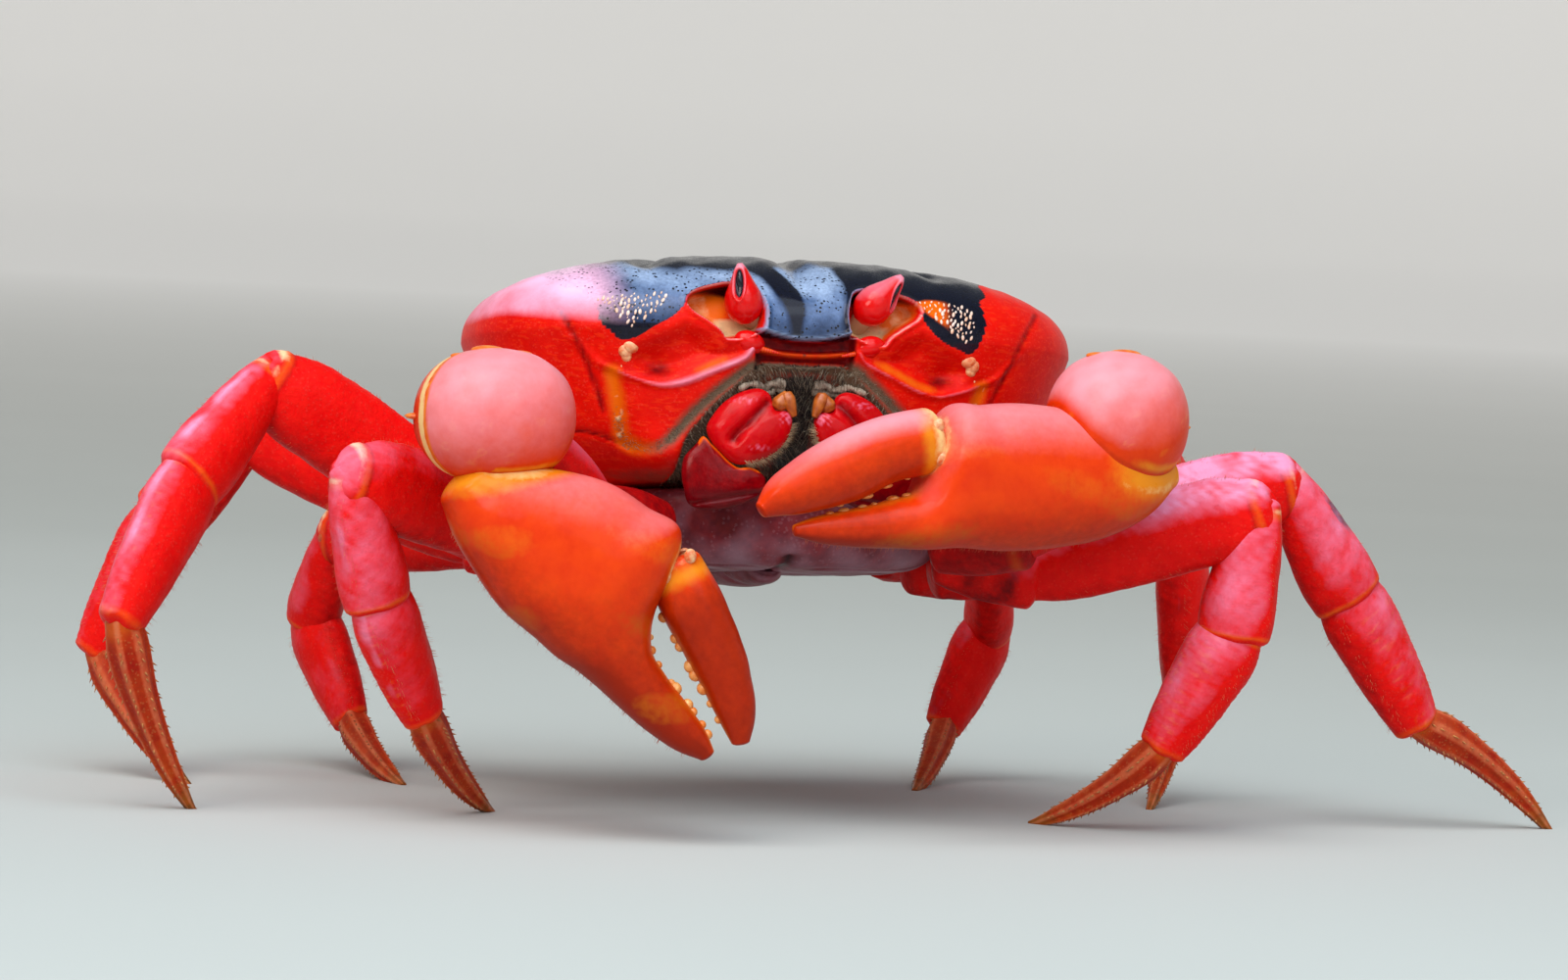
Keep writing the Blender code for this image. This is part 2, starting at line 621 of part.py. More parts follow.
def build_claw(side, mats):
    c = CLAWS[side]
    name = "claw_" + side
    red, orange = mats["leg_red"], mats["claw_orange"]
    up = np.array((0, 0, 1.0))
    coxa = limb(name + "_coxa", c["root"], c["ischium"], up, CLAW_COXA, red)
    merus_args = (c["ischium"], c["merus"], up, CLAW_MERUS)
    merus = limb(name + "_merus", *merus_args, red)
    combine(coxa, [limb("cutter", *merus_args, None, grow=GAP)], "DIFFERENCE")
    carpus = ellipsoid(name + "_carpus", c["ball"], c["radii"], orange, expo=2.2, rings=12, cols=18)
    cutter = ellipsoid("cutter", c["ball"], c["radii"], None, GAP, expo=2.2, rings=12, cols=18)
    combine(merus, [cutter], "DIFFERENCE")
    palm = claw_loft(name + "_palm", c, c["palm"], orange)
    cutter = claw_loft("cutter", c, c["palm"], None, GAP)
    combine(carpus, [cutter], "DIFFERENCE")
    combine(merus, [claw_loft("cutter", c, c["palm"], None, GAP)], "DIFFERENCE")
    finger = claw_loft(name + "_finger", c, c["finger"], orange, follow=True)
    cutter = claw_loft("cutter", c, c["finger"], None, GAP, follow=True)
    combine(palm, [cutter], "DIFFERENCE")
    combine(palm, tooth_row(name + "_palm", c, c["palm"], 1), "UNION")
    combine(finger, tooth_row(name + "_finger", c, c["finger"], -1), "UNION")
    return [coxa, merus, carpus, palm, finger]


def claw_root_cutter(side):
    c = CLAWS[side]
    up = np.array((0, 0, 1.0))
    return limb("cutter", c["root"], c["ischium"], up, CLAW_COXA, None, grow=GAP)


def build_crab():
    clear_scene()
    mats = make_materials()
    carapace = build_carapace(mats)
    sternum = build_sternum(mats)
    build_pleon(mats)
    combine(carapace, [build_pleon(mats, GAP)], "DIFFERENCE")
    combine(sternum, [build_pleon(mats, GAP)], "DIFFERENCE")
    for key in LEG_POSE:
        build_leg(key, mats)
    for side in CLAWS:
        build_claw(side, mats)
    roots = [c for key in LEG_POSE for c in leg_root_cutters(key)]
    roots += [claw_root_cutter(side) for side in CLAWS]
    combine(sternum, roots, "DIFFERENCE")
    for side, sign in (("L", 1), ("R", -1)):
        build_maxilliped("maxilliped_" + side, sign, mats)
        combine(sternum, [build_maxilliped("cutter", sign, mats, GAP)], "DIFFERENCE")
        combine(carapace, [build_maxilliped("cutter", sign, mats, GAP)], "DIFFERENCE")
        build_eye(side, mats)
        combine(carapace, [build_eye(side, mats, GAP)], "DIFFERENCE")
        build_antenna(side, sign, mats)
        combine(carapace, [build_antenna(side, sign, mats, GAP)], "DIFFERENCE")


build_crab()
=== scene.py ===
import bpy
import numpy as np
from math import asin, cos, pi, radians, sin
from mathutils import Matrix, Vector


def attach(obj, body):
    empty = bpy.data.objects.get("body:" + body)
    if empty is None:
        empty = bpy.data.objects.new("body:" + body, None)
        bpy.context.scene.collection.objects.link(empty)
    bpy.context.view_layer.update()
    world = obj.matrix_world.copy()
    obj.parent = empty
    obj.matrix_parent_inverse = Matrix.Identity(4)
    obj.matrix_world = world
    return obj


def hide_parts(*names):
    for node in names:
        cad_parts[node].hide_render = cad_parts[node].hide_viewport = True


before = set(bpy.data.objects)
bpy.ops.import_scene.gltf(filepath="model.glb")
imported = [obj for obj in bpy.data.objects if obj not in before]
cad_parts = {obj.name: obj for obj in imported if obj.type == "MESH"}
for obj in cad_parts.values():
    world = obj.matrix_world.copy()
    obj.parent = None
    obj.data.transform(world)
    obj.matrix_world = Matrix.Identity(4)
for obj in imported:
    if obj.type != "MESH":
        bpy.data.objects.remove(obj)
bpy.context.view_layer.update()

# Sizes are millimetres; a piece is moved and scaled to metres when its mesh is made
MM = 0.001
ORIGIN_MOVE = np.array((-17.0, -0.7, 0.0))
# the body's own frame: its height, and how far it is pitched up and turned
BODY_Z, PITCH, YAW = 74.0, radians(8), radians(2)
# the shell: half width, rise above and depth below its widest level, that level, the middle of its plan,
# its reach in front and behind, and how far its wall leans in
SHELL_HALF, SHELL_TOP, SHELL_DEEP, WIDE_Z, PLAN_Y = 50.4, 14.9, 24.0, 1.5, -4.0
FRONT_LEN, REAR_LEN, WALL_LEAN = 31.0, 45.0, 0.17
# powers of its superellipses: the plan in front and behind, the top and the wall
FRONT_POWER, REAR_POWER, TOP_POWER, WALL_POWER = 2.6, 1.95, 2.4, 6.0
# the face is drawn about a line this far from the shell's middle towards the animal's right
FACE_SHIFT = 0.8
SIDES = (("L", 1), ("R", -1))
# the angle round a limb that looks up
TOP = pi / 2
FULL_TURN = 2 * pi
rng = np.random.default_rng(7)


def unit(v):
    v = np.asarray(v, float)
    return v / (np.linalg.norm(v, axis=-1, keepdims=True) + 1e-12)


def spow(x, p):
    return np.sign(x) * np.abs(x) ** p


def bump(x, centre, half):
    return np.exp(-((x - centre) / half) ** 2)


def step(x, low, high):
    t = np.clip((x - low) / (high - low), 0, 1)
    return t * t * (3 - 2 * t)


def around(n):
    """n angles at equal steps of a full turn"""
    return np.arange(n) * FULL_TURN / n


def turned(a, angle):
    """how far an angle round a limb is from another one, between 0 and pi"""
    return np.abs((a - angle + pi) % FULL_TURN - pi)


def body_to_world(p):
    """the body's own frame is pitched up by 8 degrees about the middle of the shell, then turned by 2"""
    p = np.asarray(p, float)
    c, s = cos(PITCH), sin(PITCH)
    x, y, z = p[..., 0], p[..., 1] * c + p[..., 2] * s, p[..., 2] * c - p[..., 1] * s
    return np.stack([x * cos(YAW) + y * sin(YAW), y * cos(YAW) - x * sin(YAW), z + BODY_Z], -1)


def body_grid(x, y, z):
    """a grid given by its three coordinates in the body's frame, carried to the world"""
    return body_to_world(np.stack([x, y, z], -1))


def ease(x, xs, ys):
    """smooth curve through stations: on each span a cubic whose end slopes are the mean slopes there"""
    x, xs, ys = (np.asarray(v, float) for v in (x, xs, ys))
    slope = np.gradient(ys, xs, axis=0)
    i = np.clip(np.searchsorted(xs, x) - 1, 0, len(xs) - 2)
    h = xs[i + 1] - xs[i]
    t = np.clip((x - xs[i]) / h, 0, 1)
    if ys.ndim > 1:
        t, h = t[..., None], h[..., None]
    t2, t3 = t * t, t ** 3
    return (ys[i] * (2 * t3 - 3 * t2 + 1) + ys[i + 1] * (3 * t2 - 2 * t3)
            + h * (slope[i] * (t3 - 2 * t2 + t) + slope[i + 1] * (t3 - t2)))


def rounded(loop, closed=True, per=5):
    """an outline through its corners as a smooth curve, each corner's slope half the step past it"""
    p = np.array(loop, float)
    if not closed:
        return ease(np.linspace(0, len(p) - 1, (len(p) - 1) * per + 1), np.arange(len(p)), p)
    p = np.vstack([p[-2:], p, p[:3]])
    t = np.linspace(2, len(p) - 3, (len(p) - 5) * per + 1)[:-1]
    return ease(t, np.arange(len(p)), p)


def edge_distance(x, z, a, b):
    """distance from each point to the nearest of the edges from a to b"""
    best = np.full(x.shape, 1e9)
    for p, q in zip(a, b):
        d = q - p
        t = np.clip(((x - p[0]) * d[0] + (z - p[1]) * d[1]) / (d @ d + 1e-12), 0, 1)
        best = np.minimum(best, np.hypot(x - p[0] - t * d[0], z - p[1] - t * d[1]))
    return best


def inside(x, z, loop):
    """distance to a closed outline, positive inside, where a ray crosses it an odd number of times"""
    a = rounded(loop)
    b = np.roll(a, -1, axis=0)
    odd = np.zeros(x.shape, bool)
    for p, q in zip(a, b):
        cut = (p[1] > z) != (q[1] > z)
        span = q[1] - p[1] if q[1] != p[1] else 1e-12
        odd ^= cut & (x < p[0] + (z - p[1]) * (q[0] - p[0]) / span)
    return np.where(odd, 1, -1) * edge_distance(x, z, a, b)


def beside(x, z, line):
    """distance from each point to an open line"""
    a = rounded(line, closed=False)
    return edge_distance(x, z, a[:-1], a[1:])


def wobble(p, scale, seed=0):
    """a smooth random-looking field, mostly between -1 and 1: a sum of sines in skewed directions"""
    turns = np.random.default_rng(seed).normal(size=(5, 3)) / scale
    return sum(np.sin(p @ k * 2.2 + i * 1.7) for i, k in enumerate(turns)) / 3.2


# Skins: vertices, faces and painted masks gathered into one piece
# deep carries painted shade as well as darker reds
# pale carries painted sky sheen and painted highlights as well as pale colours
# the sheen mask and the one after it are painted sky reflections on the black
MASKS = ("dark", "sheen", "sky_reflection", "deep", "orange", "cream", "hair", "pale")
# a direction that no hair follows, to cross with
ANY_WAY = (0.31, 0.52, 0.79)


def volume(v, quads, tris):
    """six times the volume that the faces close in, negative where they point inwards"""
    a, b, c, d = (v[quads[:, k]] for k in range(4)) if len(quads) else (np.zeros((0, 3)),) * 4
    e, f, g = (v[tris[:, k]] for k in range(3)) if len(tris) else (np.zeros((0, 3)),) * 3
    return (np.einsum("ij,ij->", a, np.cross(b, c)) + np.einsum("ij,ij->", a, np.cross(c, d))
            + np.einsum("ij,ij->", e, np.cross(f, g)))


def ring_quads(n, m):
    """quads between n rings of m corners, each ring closed around"""
    i, j = np.meshgrid(np.arange(n - 1) * m, np.arange(m), indexing="ij")
    k = (j + 1) % m
    return np.stack([i + j, i + k, i + m + k, i + m + j], -1).reshape(-1, 4)


def pole_tris(n, m):
    """triangles from the first and the last of n rings of m corners to a pole each, which follow the rings"""
    c = np.arange(m)
    d = (c + 1) % m
    last = (n - 1) * m
    low = np.stack([np.full(m, n * m), d, c], 1)
    high = np.stack([np.full(m, n * m + 1), last + c, last + d], 1)
    return np.vstack([low, high])


class Skin:
    """surfaces of one piece: each grid is closed around and gets a pole at both ends"""

    def __init__(self):
        self.verts, self.quads, self.tris, self.masks, self.count = [], [], [], [], 0

    def _join(self, v, quads, tris, masks):
        table = np.stack([np.broadcast_to(masks.get(m, 0.0), (len(v),)) for m in MASKS], 1)
        self.verts.append(v)
        self.masks.append(table)
        self.quads.append(quads + self.count)
        self.tris.append(tris + self.count)
        self.count += len(v)

    def grid(self, points, **masks):
        """rings joined by quads, a pole in the middle of both end rings; masks are held between 0 and 1"""
        n, m = points.shape[:2]
        v = np.vstack([points.reshape(-1, 3), points[0].mean(0), points[-1].mean(0)])
        quads, tris = ring_quads(n, m), pole_tris(n, m)
        if volume(v - v.mean(0), quads, tris) < 0:
            quads, tris = quads[:, ::-1], tris[:, ::-1]
        full = {}
        for name, value in masks.items():
            w = np.clip(np.broadcast_to(value, (n, m)), 0, 1)
            full[name] = np.concatenate([w.reshape(-1), [w[0].mean(), w[-1].mean()]])
        self._join(v, quads, tris, full)
        return self

    def spread(self, verts, quads, tris, **masks):
        """many copies of one small closed shape: verts has the shape (copies, corners, 3)"""
        k, n = verts.shape[:2]
        shift = (np.arange(k) * n)[:, None, None]
        full = {name: np.repeat(np.broadcast_to(v, (k,)), n) for name, v in masks.items()}
        self._join(verts.reshape(-1, 3), (quads[None] + shift).reshape(-1, 4),
                   (tris[None] + shift).reshape(-1, 3), full)
        return self

    def hairs(self, roots, tips, width, bend=0.0, sides=3, steps=3):
        """thin cones: rings at equal steps to the tip shrink evenly and lean by bend times the squared way"""
        k = len(roots)
        t = np.linspace(0, 1, steps + 1)[:-1]
        bend = np.broadcast_to(bend, (k, 3))
        width = np.broadcast_to(width, (k,))
        line = roots[:, None] + (tips - roots)[:, None] * t[:, None] + bend[:, None] * (t ** 2)[:, None]
        d = unit(tips - roots)
        s = unit(np.cross(d, ANY_WAY))
        o = np.cross(d, s)
        a = around(sides)
        spokes = np.cos(a)[:, None] * s[:, None] + np.sin(a)[:, None] * o[:, None]
        ring = line[:, :, None] + (width[:, None] * (1 - t * 0.85))[:, :, None, None] * spokes[:, None]
        v = np.concatenate([ring.reshape(k, -1, 3), (tips + bend)[:, None]], 1)
        c = np.arange(sides)
        top = (steps - 1) * sides
        tris = np.stack([top + c, top + (c + 1) % sides, np.full(sides, steps * sides)], 1)
        fan = np.stack([np.zeros(sides - 2, int), c[2:], c[1:-1]], 1)
        return self.spread(v, ring_quads(steps, sides), np.vstack([tris, fan]))

    def knobs(self, centres, radii, axes=np.eye(3), rings=5, cols=8, **masks):
        """small ellipsoids: rings of latitude between two poles, stretched along three axes"""
        centres = np.atleast_2d(centres)
        k = len(centres)
        radii = np.broadcast_to(radii, (k, 3))
        axes = np.broadcast_to(axes, (k, 3, 3))
        lat = np.linspace(-pi / 2, pi / 2, rings + 1)[1:-1]
        lon = around(cols)
        ball = np.stack([np.outer(np.cos(lat), np.cos(lon)), np.outer(np.cos(lat), np.sin(lon)),
                         np.outer(np.sin(lat), np.ones(cols))], -1).reshape(-1, 3)
        ball = np.vstack([ball, (0, 0, -1), (0, 0, 1)])
        v = centres[:, None] + (ball[None] * radii[:, None]) @ axes
        return self.spread(v, ring_quads(rings - 1, cols), pole_tris(rings - 1, cols), **masks)


def link(ob):
    bpy.context.scene.collection.objects.link(ob)


def make_piece(name, skin, finish, nodes=()):
    """one object from a skin, with its masks as attributes, on the body and in its material slot"""
    verts = (np.vstack(skin.verts) + ORIGIN_MOVE) * MM
    faces = np.vstack(skin.quads).tolist() + np.vstack(skin.tris).tolist()
    me = bpy.data.meshes.new(name)
    me.from_pydata(verts.tolist(), [], faces)
    masks = np.vstack(skin.masks)
    for i, mask in enumerate(MASKS):
        if masks[:, i].any():
            layer = me.attributes.new(mask, "FLOAT", "POINT")
            layer.data.foreach_set("value", masks[:, i].astype(np.float32))
    me.polygons.foreach_set("use_smooth", np.ones(len(faces), bool))
    me.materials.append(finish)
    ob = bpy.data.objects.new(name, me)
    link(ob)
    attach(ob, "root")
    if nodes:
        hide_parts(*nodes)
    return ob


# Finishes
class Value:
    """a number socket of a finish, so that sums and products can be written as plain expressions"""

    def __init__(self, tree, socket):
        self.tree, self.socket = tree, socket

    def math(self, operation, *parts):
        node = self.tree.nodes.new("ShaderNodeMath")
        node.operation = operation
        for slot, part in zip(node.inputs, parts):
            if isinstance(part, Value):
                self.tree.links.new(part.socket, slot)
            else:
                slot.default_value = part
        return Value(self.tree, node.outputs[0])

    def __add__(self, o):
        return self.math("ADD", self, o)

    def __radd__(self, o):
        return self.math("ADD", o, self)

    def __sub__(self, o):
        return self.math("SUBTRACT", self, o)

    def __rsub__(self, o):
        return self.math("SUBTRACT", o, self)

    def __mul__(self, o):
        return self.math("MULTIPLY", self, o)

    def __rmul__(self, o):
        return self.math("MULTIPLY", o, self)

    def __lt__(self, o):
        return self.math("LESS_THAN", self, o)

    def __gt__(self, o):
        return self.math("GREATER_THAN", self, o)

    def clip(self):
        node = self.tree.nodes.new("ShaderNodeClamp")
        self.tree.links.new(self.socket, node.inputs[0])
        return Value(self.tree, node.outputs[0])

    def sharpen(self, middle=0.5, gain=4.0):
        """the contrast about a middle value raised by a gain"""
        return ((self - middle) * gain + 0.5).clip()


def colour(r, g, b):
    """a screen colour of 0 to 255 as the linear colour that a shader takes"""
    c = np.array((r, g, b)) / 255
    c = np.where(c > 0.04045, ((c + 0.055) / 1.055) ** 2.4, c / 12.92)
    return (*(float(v) for v in c), 1.0)


class Finish:
    """a material under work: node() adds any node, mix() blends two colours"""

    def __init__(self, name):
        self.mat = bpy.data.materials.new(name)
        self.mat.use_nodes = True
        self.tree = self.mat.node_tree
        self.shader = self.tree.nodes["Principled BSDF"]
        self.place = self.node("ShaderNodeTexCoord").outputs["Object"]

    def node(self, kind, settings=None, **inputs):
        node = self.tree.nodes.new(kind)
        for key, value in (settings or {}).items():
            setattr(node, key, value)
        for key, value in inputs.items():
            slot = node.inputs[int(key[1:]) if key[0] == "i" and key[1:].isdigit() else key]
            self.put(slot, value)
        return node

    def put(self, slot, value):
        if isinstance(value, Value):
            value = value.socket
        if isinstance(value, bpy.types.NodeSocket):
            self.tree.links.new(value, slot)
        else:
            slot.default_value = value

    def mask(self, name):
        node = self.node("ShaderNodeAttribute", {"attribute_name": name})
        return Value(self.tree, node.outputs["Fac"])

    def noise(self, scale, detail=3.0, rough=0.6, place=None):
        node = self.node("ShaderNodeTexNoise", None, Vector=place or self.place, Scale=scale,
                         Detail=detail, Roughness=rough)
        return Value(self.tree, node.outputs[0])

    def cells(self, scale):
        node = self.node("ShaderNodeTexVoronoi", None, Vector=self.place, Scale=scale)
        return Value(self.tree, node.outputs["Distance"])

    def mix(self, low, high, amount):
        node = self.node("ShaderNodeMix", {"data_type": "RGBA"}, i6=low, i7=high)
        self.put(node.inputs[0], amount)
        return node.outputs[2]

    def relief(self, height, strength, distance=0.0003):
        node = self.node("ShaderNodeBump", None, Height=height, Strength=strength, Distance=distance)
        self.put(self.shader.inputs["Normal"], node.outputs[0])

    def put_shader(self, **values):
        for key, value in values.items():
            self.put(self.shader.inputs[key.replace("_", " ")], value)


# screen colours of the painted masks, and of the flakes, flecks and granules under them
TINTS = {
    "dark": (12, 16, 30), "sheen": (66, 98, 150), "sky_reflection": (168, 186, 216), "deep": (62, 0, 8),
    "orange": (226, 96, 6), "cream": (238, 190, 140), "hair": (104, 84, 66), "pale": (244, 140, 160),
    "flake": (236, 56, 18), "fleck": (246, 70, 34), "grit": (236, 70, 52),
}
PIT, SOOT = colour(8, 9, 16), colour(14, 18, 34)
SHINE_TINT, COAT_ROUGH = (1.0, 0.62, 0.58, 1.0), 0.14
# scale of the mottling, and the flakes' scale along each axis, where less than 1 draws them out
BLOTCH, FLAKE_STRETCH = 240.0, (0.4, 1.0, 1.6)


def crab_finish(name, base, second, rough=0.4, coat=0.3, grain=900.0, depth=0.25, pits=0.0, flakes=0.0,
                shine=0.5, granules=0.0, gloss=0.0, **tints):
    """hard shell: two reds mottled together, painted masks with ragged edges, fine grain, flakes and pits"""
    f = Finish(name)
    tints = {key: colour(*value) for key, value in {**TINTS, **tints}.items()}
    big, fine = f.noise(BLOTCH, 4.0), f.noise(grain, 3.0)
    tone = f.mix(colour(*base), colour(*second), ((big - 0.5) * 2.4 + 0.5).clip())
    long = f.node("ShaderNodeMapping", None, Vector=f.place, Scale=FLAKE_STRETCH).outputs[0]
    flake = (f.noise(grain * 0.9, 2.0, 0.5, long) - 0.56).sharpen(0.03, 12.0)
    tone = f.mix(tone, tints["flake"], flake * flakes)
    tone = f.mix(tone, tints["fleck"], ((fine - 0.5) * 3.0 + 0.5).clip() * 0.08)
    height = fine * 0.6 + big * 0.5 + flake * (flakes * 0.5)
    if granules:
        grit = (f.cells(grain * 1.5) < 0.3) * (f.noise(grain * 0.4, 2.0) > 0.45)
        tone = f.mix(tone, tints["grit"], grit * granules)
        height = height + grit * 0.7
    rag = (f.noise(grain * 0.6, 4.0) - 0.5) * 0.7
    black = None
    for mask in MASKS:
        m = f.mask(mask)
        ragged = 1.4 if mask in ("pale", "sheen", "sky_reflection") else 4.0
        amount = (m + rag * (m * (1 - m)) * ragged).sharpen(0.5, 2.2 if mask in ("dark", "cream") else 1.2)
        black = amount if mask == "dark" else black
        tone = f.mix(tone, tints[mask], amount)
    if pits:
        pit = (f.cells(grain * 1.2) < 0.28) * (f.noise(grain * 0.35, 1.0) > 0.47)
        tone = f.mix(tone, PIT, pit * black * pits)
        soot = ((f.noise(grain * 1.6, 3.0) - 0.5) * 3.0 + 0.4).clip()
        tone = f.mix(tone, SOOT, soot * black * (pits * 0.35))
        height = (height - pit) * (1.0 - black * 0.55)
    f.put_shader(Base_Color=tone, Coat_Roughness=COAT_ROUGH, Specular_IOR_Level=shine,
                 Specular_Tint=SHINE_TINT, Coat_Weight=black * gloss + coat if gloss else coat,
                 Roughness=fine * 0.16 + (rough - 0.08) - black * (rough * 0.35))
    f.relief(height, depth)
    return f.mat


def soft_finish(name, base, second, rough=0.7, scale=600.0, bumpy=0.5):
    """setae, soft skin and small knobs: two tones of one colour in a fine noise"""
    f = Finish(name)
    n = f.noise(scale, 3.0)
    tone = f.mix(colour(*base), colour(*second), ((n - 0.5) * 3 + 0.5).clip())
    f.put_shader(Base_Color=tone, Roughness=n * 0.2 + (rough - 0.1))
    f.relief(n, bumpy, 0.0002)
    return f.mat


SHELL = crab_finish("shell", (208, 4, 2), (228, 16, 3), rough=0.42, coat=0.03, grain=1100.0, depth=0.26,
                    pits=1.0, flakes=0.35, granules=0.25, shine=0.1, gloss=0.3, pale=(250, 190, 222))
LEG = crab_finish("leg_skin", (222, 2, 6), (240, 12, 10), rough=0.5, coat=0.02, grain=1000.0, depth=0.9,
                  shine=0.12, granules=0.12, dark=(60, 10, 24), orange=(236, 96, 20), pale=(240, 150, 186),
                  cream=(246, 200, 150), grit=(250, 84, 70))
TOE = crab_finish("toe_skin", (170, 28, 10), (190, 60, 18), rough=0.6, coat=0.02, grain=1000.0, depth=0.7,
                  shine=0.12, granules=0.3, dark=(120, 78, 28), pale=(206, 118, 80), orange=(208, 88, 20),
                  grit=(212, 120, 66))
CLAW = crab_finish("claw_skin", (216, 46, 1), (228, 62, 2), rough=0.42, coat=0.12, grain=1200.0, depth=0.2,
                   shine=0.15, pale=(240, 150, 160), orange=(232, 134, 20), dark=(84, 26, 6),
                   cream=(240, 196, 130), deep=(150, 30, 1))
MOUTH = crab_finish("mouth_plate", (178, 0, 10), (206, 0, 16), rough=0.2, coat=0.12, grain=1400.0, depth=0.3,
                    shine=0.12, pale=(236, 120, 150), dark=(76, 22, 28), deep=(96, 0, 6))
UNDER = crab_finish("under_skin", (84, 22, 32), (122, 44, 54), rough=0.5, coat=0.05, grain=800.0, depth=0.5,
                    shine=0.15, granules=0.3, pale=(158, 120, 134), dark=(30, 8, 16), grit=(150, 96, 104))
EYE = crab_finish("eye_skin", (204, 0, 6), (222, 4, 10), rough=0.2, coat=0.3, grain=1500.0, depth=0.12,
                  shine=0.2, pale=(240, 130, 150), cream=(176, 148, 110))
KNOB = soft_finish("knob_cream", (238, 190, 140), (214, 84, 20), 0.4, 700.0, 0.6)
SPECK = soft_finish("speckle", (240, 220, 210), (232, 176, 140), 0.4, 900.0, 0.2)
TOOTH = soft_finish("tooth", (236, 176, 104), (224, 116, 34), 0.4, 600.0, 0.3)
ORANGE_KNOB = soft_finish("knob_orange", (224, 88, 14), (236, 134, 44), 0.4, 700.0, 0.2)
JOINT = soft_finish("joint_skin", (196, 46, 18), (222, 110, 50), 0.5, 500.0, 0.5)
TAN = soft_finish("setae_tan", (196, 70, 40), (226, 128, 84), 0.7)
SPINE = soft_finish("toe_spine", (150, 78, 34), (196, 126, 62), 0.5)
BROWN = soft_finish("setae_brown", (78, 62, 50), (168, 148, 124), 0.8, 1400.0)
UMBER = soft_finish("setae_umber", (34, 24, 18), (78, 60, 46), 0.8, 1400.0)
FRINGE = soft_finish("setae_fringe", (150, 112, 78), (206, 176, 138), 0.8, 1400.0)
PALP = soft_finish("palp_orange", (150, 62, 16), (196, 104, 34), 0.35, 800.0, 0.4)
BEAD = soft_finish("mouth_bead", (120, 98, 82), (186, 166, 146), 0.5, 900.0, 0.6)
CORNEA = soft_finish("cornea", (6, 7, 12), (20, 24, 38), 0.12, 2000.0, 0.02)


# Carapace
# outlines and lines of one half of the face, as distance from the middle and height in the body's frame
ORBIT = ((7.2, 1.6), (6.7, 5.0), (7.8, 8.2), (9.6, 9.3), (12, 9.5), (14.4, 9.0), (16.8, 8.4), (18.8, 7.4),
         (19.5, 5.9), (18.6, 4.4), (16.6, 3.1), (14.2, 1.4), (13, 0.0), (10.6, 0.2), (8.6, 0.9))
BASIN = ((9.8, -1.2), (13.5, -0.9), (15, 0.6), (17.5, 2.2), (20, 3.0), (24, 0.6), (27.6, -1.0), (28.8, -3),
         (27.6, -5.4), (25, -6.4), (22.5, -6.7), (19, -6.0), (14.5, -4.1), (10.8, -2.6))
CREST = ((37, 0), (34.8, -2.4), (32.9, -4.2), (30, -5.3), (28, -6.2), (25, -7.1), (22.6, -7.5),
         (19, -6.8), (14.5, -4.9), (10.2, -3.0), (8.9, -1.4))
MOUTH_FIELD = ((-9, -2.9), (0, -2.9), (6.5, -2.8), (8.6, -4.4), (11.2, -6.8), (14.4, -9.7), (16.6, -12.4),
               (18.8, -15.6), (19.6, -20), (19.6, -30), (0, -31), (-9, -30))
BAND = ((30.6, -5.5), (29.7, -9.1), (29, -12.2), (28.3, -15.3), (26.3, -17.1), (23.1, -17.3), (20.4, -15.3),
        (17.2, -11.5), (14.6, -8.9), (11.4, -6.2), (8.6, -4.0))
SUTURE = ((46, -13), (37, -14.4), (32.2, -15.1), (26.8, -17.2))
CREASE = ((41.4, 7.5), (39.5, 5.2), (37.5, 1.9), (35.6, -1.7), (32.8, -7.6), (31.4, -11.5))
# the lower edge of the black, and the speckled patch, on the right (-1) and on the left (1)
DARK_EDGE = {
    -1: ((0, 0.2), (7.4, 0.9), (12, 3), (16.8, 6.0), (19.2, 6.2), (20.8, 4.3), (24.9, 1.6), (27.8, -0.2),
         (30, -0.4), (31.3, 0.6), (33, 3.1), (35, 5.9), (37.4, 8.4), (40, 9.6), (43, 12), (50, 20)),
    1: ((0, 0.2), (7.4, 0.9), (12, 3), (16.8, 6.0), (19.0, 5.6), (20.2, 3.8), (22.4, 1.7), (25.7, 0.3),
        (28.7, 0.1), (29.8, 2), (30.4, 5), (30.8, 8), (31.6, 10.6), (34, 13), (38, 15), (50, 20)),
}
SPECKLES = {
    -1: ((33.6, 6), (30.9, 6.6), (27.7, 7.2), (22.3, 7.5), (22.5, 6), (24.4, 4), (27, 2.1), (28.7, 1.5),
         (30.3, 3.3)),
    1: ((18.8, 7.6), (23.3, 8.2), (27.6, 7.4), (28.9, 5.5), (28.4, 2.3), (26.7, 1.3), (23.3, 3.7),
        (19.6, 6.2)),
}


def shell_base(phi, tilt):
    """a plan superellipse, squarer in front, carried up a flat superellipse and down a leaning square wall"""
    front = np.cos(phi) > 0
    p, depth = np.where(front, FRONT_POWER, REAR_POWER), np.where(front, FRONT_LEN, REAR_LEN)
    r = (np.abs(np.sin(phi) / SHELL_HALF) ** p + np.abs(np.cos(phi) / depth) ** p) ** (-1 / p)
    up = np.sin(tilt) > 0
    n = np.where(up, TOP_POWER, WALL_POWER)
    c, s = np.cos(tilt), np.abs(np.sin(tilt))
    q = (c ** n + s ** n) ** (-1 / n)
    out, rise = q * c, q * s
    out = out * np.where(up, 1, 1 - WALL_LEAN * rise)
    z = WIDE_Z + np.where(up, SHELL_TOP * rise, -SHELL_DEEP * rise)
    return r * np.sin(phi) * out, PLAN_Y - r * np.cos(phi) * out, z


def front_y(x, z):
    """how far forward the bare shell reaches at a width and height of the face"""
    up = z > WIDE_Z
    rise = np.abs(z - WIDE_Z) / np.where(up, SHELL_TOP, SHELL_DEEP)
    n = np.where(up, TOP_POWER, WALL_POWER)
    out = np.clip(1 - rise ** n, 0, 1) ** (1 / n) * np.where(up, 1, 1 - WALL_LEAN * rise)
    inner = np.clip(1 - np.abs(x / (SHELL_HALF * out + 1e-9)) ** FRONT_POWER, 0, 1)
    return PLAN_Y - FRONT_LEN * out * inner ** (1 / FRONT_POWER)


